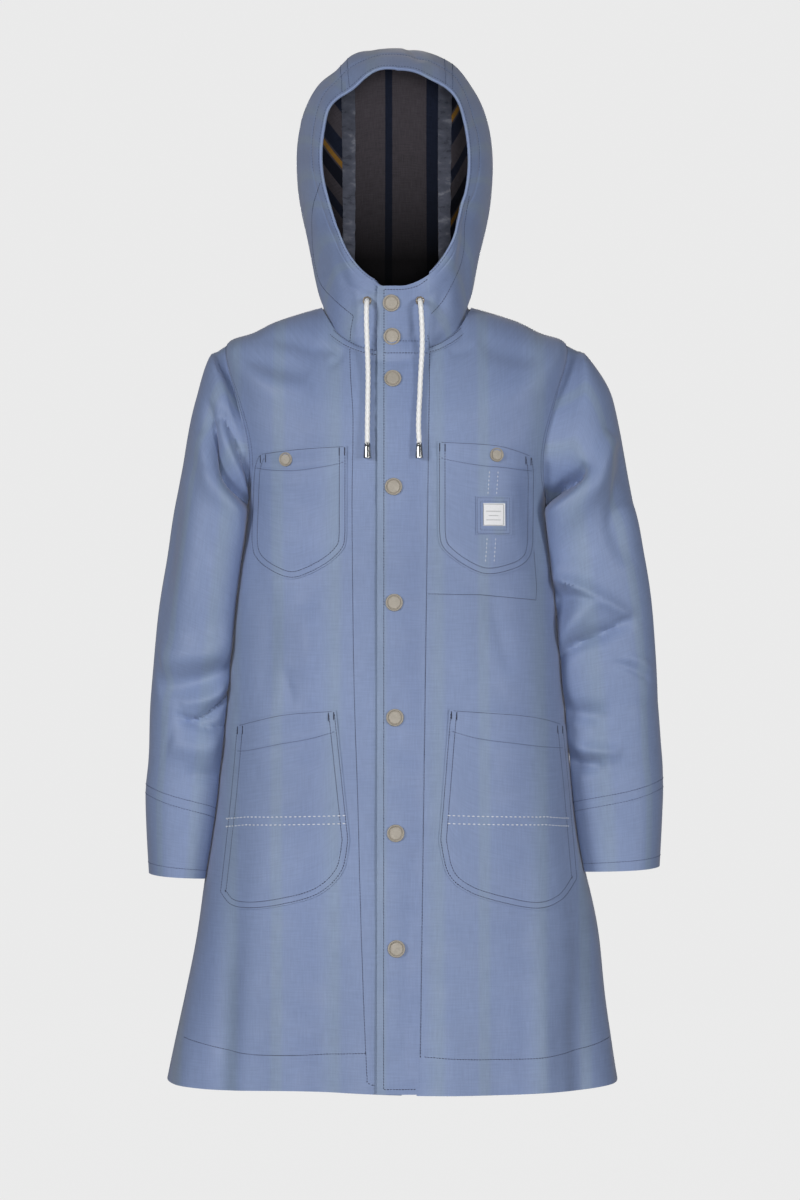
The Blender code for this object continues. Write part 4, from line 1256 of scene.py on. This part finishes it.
def strip_grid(left, right, across, height, foot=STRIP_FOOT, top=STRIP_TOP):
    """A long strip on the front; height gives how far out it stands, for a share across."""
    rows = []
    for z in np.linspace(top, foot, int((top - foot) / STEP)):
        shares = np.linspace(0, 1, across)
        xs = left(z) + (right(z) - left(z)) * shares
        rows.append([on_face(x, z + strip_lift(x, z), height(s, z)) for x, s in zip(xs, shares)])
    return np.array(rows)


def neck_band_rise(z):
    """The neck seam's band shows as a low step across the front."""
    return 0.9 * ease(-64, -61, z) * (1 - ease(-47, -44, z))


def strip_height(share, z):
    """How far the strip stands off the front at a share across: full at its edge, flat at its hinge."""
    fold_edge = 0.25 * bump(0.03, 0.05, share)
    return 1.5 * (1 - ease(0.45, 0.97, share)) + fold_edge + neck_band_rise(z) + 0.05


def closing():
    body, tree = "closing_strip", STRIP_TREE
    stripe = stripes_across(STRIP_ROWS)
    coat_cloth("placket_strip", STRIP_ROWS, SELF_FACED, STRIP_CLOTH, stripe, body)
    free, top, foot = STRIP_FREE + 7.5, STRIP_TOP, STRIP_FOOT + 6
    lines = [
        on_front_line([(free, foot), (free, top - 4)], tree, count=260),
        on_front_line(curve([(free, top - 4), (8, top - 4), (24, top), (36, top + 8)]), tree),
        on_front_line([(free, foot), (hinge_x(foot) - 3, foot)], tree),
    ]
    lines += [on_front_line([(free, z), (STRIP_HINGE - 2, z)], tree) for z in (-46, -60)]
    stitches("placket_stitching", lines, body, DARK_THREAD)
    facing_foot = STRIP_FOOT + 3
    rows = strip_grid(
        lambda z: STRIP_FREE + 1,
        lambda z: hinge_x(z) - 2,
        16,
        lambda share, z: strip_height(share, z) - 2.1,
        facing_foot,
    )
    coat_cloth("placket_facing", rows, [INSIDE], THIN, None, body, "inner_cloth")
    rows = strip_grid(
        lambda z: -42,
        lambda z: 30 - 10 * strip_share(z),
        18,
        lambda share, z: -5.2,
        facing_foot,
    )
    coat_cloth("underlap_facing", rows, SELF_FACED, CLOTH)
    # Stitching that holds the hinge side of the strip, and the right front's facing.
    hinge = [(hinge_x(z) + 1.4, z) for z in (-60, -300, -600, HEM_SEAM_Z)]
    right = [
        (-54, -54), (-53, -87), (-50, -139), (-51, -231), (-50, -345),
        (-48, -459), (-44, -574), (-41, -688), (-37, -803), (-33, -890),
    ]
    lines = [on_front_line(hinge, count=240), on_front_line(curve(right, 60), count=240)]
    lines.append(on_front_line([(36, -38), (38, -60)]))
    lines.append(on_front_line([(-33, -890), (-25, -893)]))
    stitches("front_edge_stitching", lines, "coat", DARK_THREAD)


def neck_bands():
    """The bands that cover the neck seam; the far end of each sinks into the front."""
    down, across, fade = 8, 60, 14
    for side, sign in (("left", 1), ("right", -1)):
        rows = []
        for u in np.linspace(0.0, 0.36, down):
            z = along(BODY, u)[1]
            near = body_angle_at(u, hinge_x(z) + 0.6) if sign > 0 else body_angle_at(u, STRIP_FREE - 1)
            dense = body_loop(u, np.linspace(near, sign * 1.2, 160))
            rows.append(evenly(dense, across))
        rows = np.array(rows)
        swell = 0.5 * np.sin(np.linspace(0, math.pi, down))[:, None]
        height = body_relief(rows, True) + 1.0 + swell
        ends = np.ones(across)
        ends[-fade:] = np.linspace(1, 0, fade)
        rows = pushed(rows, INSIDE_COAT, height * ends - (1 - ends) * 0.6)
        name = f"neck_band_{side}"
        coat_cloth(name, rows, [OUTSIDE], THIN, stripes_across(rows))
        lines = [on_grid_line(rows, INSIDE_COAT, (k, slice(0, 48))) for k in (1, -2)]
        stitches(name + "_stitching", lines, "coat", DARK_THREAD)


def front_seams():
    """Stitch lines that lie straight on the coat's front and on the foot of the hood."""
    hem_left = curve([(247, -852), (216, -859), (165, -865), (94, -865), (31, -861)], 60)
    hem_right = curve([(-245, -849), (-203, -857), (-167, -861), (-124, -860), (-34, -857)], 60)
    pocket_line = [
        (36, -338), (96, -339), (161, -345), (162, -330), (160, -300), (156, -235), (152, -182),
    ]
    lines = [on_front_line(path, count=160) for path in (hem_left, hem_right, pocket_line)]
    stitches("front_stitching", lines, "coat", DARK_THREAD)
    right = curve([(-88, 136), (-97, 113), (-99, 86), (-97, 55), (-89, 26), (-71, 3), (-50, -16)], 60)
    left = curve([(84, 122), (79, 91), (78, 61), (71, 36), (55, 4), (40, -14)], 60)
    lines = [on_front_line(right, count=90)]
    lines += [on_front_line([(-50, -16), (-53, -32), (-54, -46)], count=30)]
    lines += [on_front_line(left, count=90)]
    piece = stitches("hood_foot_stitching", lines, None, DARK_THREAD)
    bend(piece, ("coat", "hood"), HOOD_BEND, None)


# ---- Pockets and label -------------------------------------------------------------------------
def patch_grid(mouth, inner, bottom, outer, across=52, down=60):
    """x, z places of a pocket between its four edges."""
    s, t = np.linspace(0, 1, across), np.linspace(0, 1, down)
    top, foot = evenly(curve(mouth), across), evenly(curve(bottom, 80), across)
    left, right = evenly(curve(inner), down), evenly(curve(outer), down)
    s, t = s[None, :, None], t[:, None, None]
    ruled = (1 - t) * top[None] + t * foot[None] + (1 - s) * left[:, None] + s * right[:, None]
    corners = (1 - s) * (1 - t) * top[0] + s * (1 - t) * top[-1]
    corners = corners + (1 - s) * t * foot[0] + s * t * foot[-1]
    return ruled - corners


def pocket_height(s, t):
    """An empty pocket: sewn down at its edges, a little full, and its mouth stands off."""
    rim = np.minimum(np.minimum(s, 1 - s) * 22, (1 - t) * 26)
    full = ease(0, 4, rim)
    hem = 0.7 * ease(0.17, 0.15, t)
    mouth = 1.9 * np.sin(math.pi * s) ** 0.6 * ease(0.12, 0.0, t)
    return 1.3 + 1.3 * full * (0.5 + 0.5 * np.sin(math.pi * s)) + hem + mouth


def inset(outline, gap):
    """An open outline moved inwards by a gap."""
    line = np.asarray(outline, float)
    ahead = np.gradient(line, axis=0)
    ahead /= np.linalg.norm(ahead, axis=1, keepdims=True)
    side = np.stack([-ahead[:, 1], ahead[:, 0]], axis=1)
    middle = line.mean(axis=0)
    if np.sum(side * (middle - line)) < 0:
        side = -side
    return line + side * gap


def bar_tacks(name, mouth, tree):
    """Two short bars of close stitches at each end of a pocket's mouth."""
    first, last = np.array(mouth[0]), np.array(mouth[-1])
    tacks = []
    for at, towards in ((first, last), (last, first)):
        step = (towards - at) / np.linalg.norm(towards - at)
        for gap in (2.6, 8.8):
            top = at + step * gap + (0, -1.5)
            tacks.append(on_front_line([top, top + (0, -9)], tree, out=0.2, count=8))
    stitches(name + "_bar_tacks", tacks, "coat", DARK_THREAD, long=1.6, pitch=1.5, thick=0.6)


def pockets():
    for name, edges in POCKETS.items():
        mouth, inner, bottom, outer = edges
        flat = patch_grid(*edges)
        down, across = flat.shape[:2]
        s, t = np.meshgrid(np.linspace(0, 1, across), np.linspace(0, 1, down))
        height = pocket_height(s, t)
        rows = np.array([
            [on_face(*flat[j, k], height[j, k]) for k in range(across)] for j in range(down)
        ])
        coat_cloth(name, rows, BACKED, CLOTH, stripes_across(flat))
        tree = tree_of(rows)
        outline = np.vstack([curve(inner)[1:-1], curve(bottom, 80), curve(outer)[::-1][1:-1]])
        lines = [on_front_line(inset(outline, gap), tree, count=200) for gap in (2.2, 8.6)]
        hem_share = 0.15 if name.startswith("hip") else 0.17
        hem = flat[int(hem_share * down)]
        stitches(name + "_stitching", lines, "coat", DARK_THREAD)
        hem_lines = [on_front_line(hem[2:-2], tree, count=80)]
        stitches(name + "_hem_stitching", hem_lines, "coat", BLUE_THREAD)
        # Partly a stitch line and partly painted shade: dark thread just under the mouth draws the dark
        # line of the gap behind the mouth.
        edge = [on_front_line(flat[0][2:-2] - (0, 0.9), tree, count=80)]
        stitches(name + "_mouth_stitch_shade", edge, "coat", DARK_THREAD, long=3.1, pitch=3.0, thick=0.24)
        bar_tacks(name, mouth, tree)
        if name.startswith("hip"):
            sign = 1 if name.endswith("left") else -1
            twin = []
            for z in (-590, -599):
                path = [(sign * 57, z), (sign * 115, z - 2), (sign * 172, z - 4), (sign * 200, z - 8)]
                twin.append(on_front_line(path, tree, count=120))
            band = name + "_band_stitching"
            stitches(band, twin, "coat", PALE_THREAD, long=3.4, pitch=5.6, thick=0.6)
        if name == "chest_pocket_left":
            slot = [on_front_line([(x, -196), (x - 2, -224)], tree, count=20) for x in (107, 117)]
            slot += [on_front_line([(x, -273), (x - 2, -302)], tree, count=20) for x in (104, 114)]
            stitches("pen_slot_stitching", slot, "coat", PALE_THREAD, long=2.2, pitch=4.6, thick=0.4)
            label(tree)


def label(tree):
    """A plain woven label on its patch: a frame line and three short bars, without words."""
    def sheet_on(node, tree, box, out, made_of, slot, count=14):
        low_x, high_x, low_z, high_z = box
        rows = []
        for z in np.linspace(high_z, low_z, count):
            row = [seen_from_front(tree, x, z) for x in np.linspace(low_x, high_x, count)]
            rows.append([place + normal * out for place, normal in row])
        rows = np.array(rows)
        coat_cloth(node, rows, [made_of], THIN, None, "coat", slot)
        return tree_of(rows)

    def ring(box, gap):
        low_x, high_x, low_z, high_z = box
        low_x, high_x, low_z, high_z = low_x + gap, high_x - gap, low_z + gap, high_z - gap
        return [(low_x, low_z), (high_x, low_z), (high_x, high_z), (low_x, high_z), (low_x, low_z)]

    patch_tree = sheet_on("label_patch", tree, LABEL_PATCH, 1.5, OUTSIDE, "coated_cloth")
    lines = [on_front_line(ring(LABEL_PATCH, gap), patch_tree, count=80) for gap in (1.6, 5.4)]
    stitches("label_patch_stitching", lines, "coat", BLUE_THREAD, thick=0.28)
    label_tree = sheet_on("label", tree, LABEL, 2.4, WOVEN_LABEL, "label_cloth")
    lines = [on_front_line(ring(LABEL, 0.9), label_tree, count=60)]
    bars = ((0, -243), (3, -248), (0, -253))
    lines += [on_front_line([(103 + k, z), (120 - k, z)], label_tree) for k, z in bars]
    stitches("label_lines", lines, "coat", DARK_THREAD, long=2.0, pitch=2.1, thick=0.26)


# ---- Hardware ----------------------------------------------------------------------------------
def smooth_front_normal(x, z, reach=6):
    """Which way the plain front faces at x, z."""
    across = bare_front(x + reach, z) - bare_front(x - reach, z)
    up = bare_front(x, z + reach) - bare_front(x, z - reach)
    out = np.cross(across, up)
    out *= -np.sign(out[1])
    return out / np.linalg.norm(out)


def bare_front(x, z):
    """The CAD model's own face, which has no folds: hardware stays where its solids are."""
    return seen_from_front(BARE_FACE, x, z)[0]


def turned(name, profile, place, facing, made_of, around=48):
    """A turned piece: rings of radius and height round the facing direction."""
    turn = np.arange(around) * 2 * math.pi / around
    up = np.asarray(facing, float)
    side = np.cross(up, (1, 0, 0) if abs(up[0]) < 0.9 else (0, 1, 0))
    side /= np.linalg.norm(side)
    other = np.cross(up, side)
    points, faces = [], []
    for radius, height in profile:
        for a in turn:
            points.append(place + height * up + radius * (math.cos(a) * side + math.sin(a) * other))
    rings = len(profile)
    for k in range(rings - 1):
        for j in range(around):
            i, o = k * around + j, k * around + (j + 1) % around
            faces.append((i, i + around, o + around, o))
    if profile[0] != profile[-1]:
        faces.append(tuple(range(around)))
        faces.append(tuple(range((rings - 1) * around, rings * around))[::-1])
    mesh = bpy.data.meshes.new(name)
    mesh.from_pydata((np.array(points) * MM).tolist(), [], faces)
    mesh.validate()
    mesh.shade_smooth()
    mesh.set_sharp_from_angle(angle=math.radians(50))
    return add_mesh(name, mesh, [made_of])


def cap_profile(radius):
    """A snap cap: a rolled rim, a groove with a fine inner ring, and a nearly flat face."""
    shape = [
        (0.02, 0.80), (0.3, 0.80), (0.52, 0.78), (0.62, 0.76), (0.67, 0.74), (0.69, 0.5), (0.73, 0.42),
        (0.78, 0.5), (0.81, 0.80), (0.84, 0.94), (0.89, 1.0), (0.94, 0.97), (0.98, 0.82), (1.0, 0.6),
        (1.0, 0.3), (0.97, 0.05), (0.94, 0.0), (0.02, 0.0),
    ]
    return [(r * radius, h * CAP_H) for r, h in shape]


def hardware():
    stud = [(0.1, 1.1), (4.8, 1.1), (5.2, 0.9), (6.4, 0.8), (STUD_R, 0.5), (STUD_R, 0), (0.1, 0)]
    for index, z in enumerate(SNAP_Z):
        x = SNAP_X[0] + (SNAP_X[1] - SNAP_X[0]) * index / (len(SNAP_Z) - 1)
        out, face = smooth_front_normal(x, z), bare_front(x, z)
        number = index + 1
        seat = seen_from_front(STRIP_TREE, x, z)[0]
        made = turned(f"snap_cap_{number}", cap_profile(CAP_R), seat - out * 0.2, out, SNAP)
        dress(made, "closing_strip", "snap_metal", f"front_snap_cap_{number}")
        base = face - out * STUD_DEPTH
        made = turned(f"snap_stud_{number}", stud, base, out, SNAP, 32)
        dress(made, "coat", "snap_metal", f"front_snap_stud_{number}")
    for side, (x, z) in POCKET_SNAPS.items():
        out = smooth_front_normal(x, z)
        place = seen_from_front(FACE, x, z)[0] + out * 3.2
        made = turned(f"pocket_cap_{side}", cap_profile(POCKET_CAP_R), place, out, SNAP)
        dress(made, "coat", "snap_metal", f"pocket_snap_cap_{side}")


def eyelet(side, body, face, out):
    """A rolled ring, and a dark disc behind its hole that stands in for the shade inside it: painted
    shade.
    """
    hole, wide, tall = EYELET_HOLE_R, EYELET_R, EYELET_H
    profile = [
        (hole, -1.0), (hole, tall * 0.5), (hole + 0.35, tall * 0.9), (hole + 0.9, tall),
        (wide - 0.7, tall * 0.8), (wide - 0.2, tall * 0.45), (wide, 0), (wide - 0.4, -0.4),
        (hole, -1.0),
    ]
    seat = 1.3 if side == "left" else 0.6
    made = turned(f"eyelet_ring_{side}", profile, face + out * seat, out, EYELET)
    dress(made, body, "snap_metal", f"eyelet_{side}")
    # Painted shade: a dark disc of tape fills the view through the hole.
    back = [(0.1, 0.4), (hole + 0.1, 0.4), (hole + 0.1, 0), (0.1, 0)]
    made = turned(f"eyelet_inside_{side}", back, face + out * 0.9, out, TAPE, 24)
    dress(made, body, None)


def cord_end(side, x, z):
    """A drawcord tail, which hangs from its eyelet, and the metal bell on its end."""
    body, long = f"cord_end_{side}", BELL_LENGTH
    route = zip(CORD_ACROSS[side], CORD_OUT_DOWN)
    rows = [bare_front(x + across, z + down) - (0, out, 0) for across, (out, down) in route]
    line = curve(rows, 150)
    tail = rope(f"drawcord_tail_{side}", line)
    dress(tail, body, "cord_white", f"cord_tail_{side}")
    foot = line[-1] - (0, 0, 0.5)
    profile = [
        (0.1, 0.2), (2.9, 0.2), (3.3, -0.2), (3.4, -1.6), (3.1, -1.9), (3.1, -2.4), (3.4, -2.7),
        (3.5, -4.2), (3.9, -8), (4.4, -12), (4.6, -long + 1.2), (4.7, -long + 0.6), (4.4, -long),
        (0.1, -long),
    ]
    made = turned(f"bell_{side}", profile[::-1], foot, (0, 0, 1), CHROME)
    dress(made, body, "bell_metal", f"cord_bell_{side}")
    band = [(3.14, -2.5), (3.14, -1.8), (3.3, -1.8), (3.3, -2.5), (3.14, -2.5)]
    groove = turned(f"bell_band_{side}", band, foot, (0, 0, 1), DARK_METAL, 32)
    dress(groove, body, None)


def eyelets_and_cords():
    for side, (x, z) in EYELETS.items():
        out, face = smooth_front_normal(x, z), bare_front(x, z)
        eyelet(side, "closing_strip" if side == "left" else "coat", face, out)
        cord_end(side, x, z)


def rope(name, line, around=24, radius=CORD_R):
    """A braided cord along a line: two sets of strands cross over each other."""
    far = walked(line)
    steps = np.arange(0, far[-1], 0.75)
    middle = placed(line, far, steps)
    ahead = np.gradient(middle, axis=0)
    ahead /= np.linalg.norm(ahead, axis=1, keepdims=True)
    side = np.cross(np.tile((1.0, 0.0, 0.0), (len(middle), 1)), ahead)
    side /= np.linalg.norm(side, axis=1, keepdims=True)
    other = np.cross(ahead, side)
    turn = np.arange(around) * 2 * math.pi / around
    phase = steps[:, None] * (2 * math.pi / 7.0)
    strands = np.maximum(np.cos(4 * turn[None] + phase), np.cos(4 * turn[None] - phase))
    girth = radius * (0.88 + 0.12 * strands)
    c, s = np.cos(turn)[None, :, None], np.sin(turn)[None, :, None]
    rows = middle[:, None] + girth[..., None] * (c * side[:, None] + s * other[:, None])
    return add_grid(name, rows, middle[:, None], [CORD], 0, closed=True)


# ---- Inner pieces ------------------------------------------------------------------------------
def inner_pieces():
    rows, top, foot = [], -190, -336
    for z in np.linspace(top, foot, 30):
        sag = 1.2 * math.sin((z - top) / (top - foot) * math.pi)
        rows.append([on_face(x, z, -5.6 + sag) for x in np.linspace(62, 150, 24)])
    bag = add_grid("inner_pocket_cloth", np.array(rows), INSIDE_COAT, [INSIDE], CLOTH)
    dress(bag, "coat", "inner_cloth", "inner_pocket_bag")
    half, bow, tall = 30, 3.2, 7
    xs = np.linspace(-half, half, 40)
    zs = np.linspace(tall, 0, 10)
    rows = np.array([[(x, bow * (x / half) ** 2 - 0.75, z) for x in xs] for z in zs])
    loop = add_grid("hanger_loop_tape", rows, np.array([0, 50, 3]), [TAPE], 1.5)
    dress(loop, "coat", "seam_tape", "hanger_loop")


def channel_cord(grids):
    """The drawcord's stretch inside the channel of the hood's opening, from one side to the other."""
    row = RIM_ROWS + int(np.argmin(np.abs(HOOD_ROWS - CORD_AT)))
    line = np.concatenate([
        grids[part][row] - 3.0 * normals_of(grids[part], INSIDE_HOOD)[row] for part in HOOD_PARTS
    ])
    steps = np.concatenate([[True], np.linalg.norm(np.diff(line, axis=0), axis=1) > 0.5])
    piece = rope("channel_cord", line[steps], 12, 1.2)
    bend(piece, ("coat", "hood"), HOOD_BEND, "cord_white", "hood_drawcord")


# ---- Camera, light and backdrop ----------------------------------------------------------------
CAMERA = (4, -4217, -345)
LENS, SENSOR = 104.7, 36


def studio():
    scene = bpy.context.scene
    scene.view_settings.view_transform = "Standard"
    data = bpy.data.cameras.new("camera")
    data.lens = LENS
    data.sensor_width = SENSOR
    data.clip_end = 60
    camera = bpy.data.objects.new("camera", data)
    camera.location = Vector(CAMERA) * MM
    camera.rotation_euler = (math.pi / 2, 0, 0)
    scene.collection.objects.link(camera)
    scene.camera = camera
    world = bpy.data.worlds.new("studio")
    scene.world = world
    world.use_nodes = True
    sky = world.node_tree.nodes["Background"].inputs
    sky["Color"].default_value = (0.93, 0.96, 1.0, 1)
    sky["Strength"].default_value = 0.08
    lamps = {  # place, size and watts
        "key": ((-3.2, -3.7, 0.7), 0.9, 106),
        "front": ((0.1, -5.0, -0.4), 0.7, 88),
        "fill": ((3.4, -3.6, 0.0), 1.0, 74),
        "back": ((0.0, 4.4, 0.3), 1.6, 75),
    }
    aim = Vector((0, -0.1, -0.3))
    for name, (place, size, watts) in lamps.items():
        light = bpy.data.lights.new(name, "AREA")
        light.size = size
        light.energy = watts
        lamp = bpy.data.objects.new(name, light)
        lamp.location = place
        lamp.rotation_euler = (aim - Vector(place)).to_track_quat("-Z", "Y").to_euler()
        scene.collection.objects.link(lamp)


def backdrop():
    """A pale floor that sweeps up into a wall all round, far from the coat."""
    profile = [(0, 0), (7, 0), (8.6, 0.16), (9.8, 0.7), (10.6, 1.6), (11, 3), (11, 9)]
    sweep, around, floor = curve(profile, 40), 96, -1.35
    turn = np.linspace(0, 2 * math.pi, around + 1)[:-1]
    points = [(r * math.cos(a), r * math.sin(a), h + floor) for r, h in sweep for a in turn]
    faces = []
    for k in range(len(sweep) - 1):
        for j in range(around):
            i, o = k * around + j, k * around + (j + 1) % around
            faces.append((i, o, o + around, i + around))
    mesh = bpy.data.meshes.new("backdrop")
    mesh.from_pydata(points, [], faces)
    mesh.shade_smooth()
    n = Nodes("backdrop")
    grain = n.noise(n.object_place(), 3.0, 2.0)
    n.set(Base_Color=n.tones(grain, 0.003, 0.004), Roughness=1.0)
    n.set(Specular_IOR_Level=0.0)
    n.set(Emission_Color=(1.0, 1.0, 1.0, 1), Emission_Strength=0.825)
    made = add_mesh("backdrop", mesh, [n.material])
    made.visible_diffuse = False
    made.visible_glossy = False
    made.visible_shadow = False


# ---- Putting it together -----------------------------------------------------------------------
def bare_grids():
    """The plain surfaces of the hood and the body, as the CAD model has them."""
    turn = np.linspace(-math.pi, math.pi, 81)
    body = np.array([body_loop(u, turn) for u in np.linspace(NECK, HEM, 57)])
    hood = np.array([hood_loop(v, turn) for v in np.linspace(0, HOOD_LAST, 41)])
    return hood, body


def relieved_hood():
    """The hood's folded face, all the way round, which sewn-on pieces follow."""
    turn = np.linspace(-math.pi, math.pi, 161)
    rows = np.array([hood_loop(v, turn) for v in HOOD_ROWS])
    v = np.repeat(HOOD_ROWS[:, None], len(turn), axis=1)
    angles = np.repeat(turn[None], len(HOOD_ROWS), axis=0)
    return pushed(rows, INSIDE_HOOD, hood_relief(rows, v, angles))


BARE_FACE = tree_of(*bare_grids())
FACE = tree_of(relieved_hood(), whole_front())
BODY_TREE = tree_of(FRONTS["left"], FRONTS["right"], BACK)
STRIP_ROWS = strip_grid(lambda z: STRIP_FREE, lambda z: hinge_x(z) + 0.2, 20, strip_height)
STRIP_TREE = tree_of(STRIP_ROWS)

studio()
backdrop()
eyelets_and_cords()
body_panels()
hem_facing()
side_tapes()
channel_cord(hood_panels())
hood_tapes()
sleeves()
closing()
neck_bands()
front_seams()
pockets()
hardware()
inner_pieces()
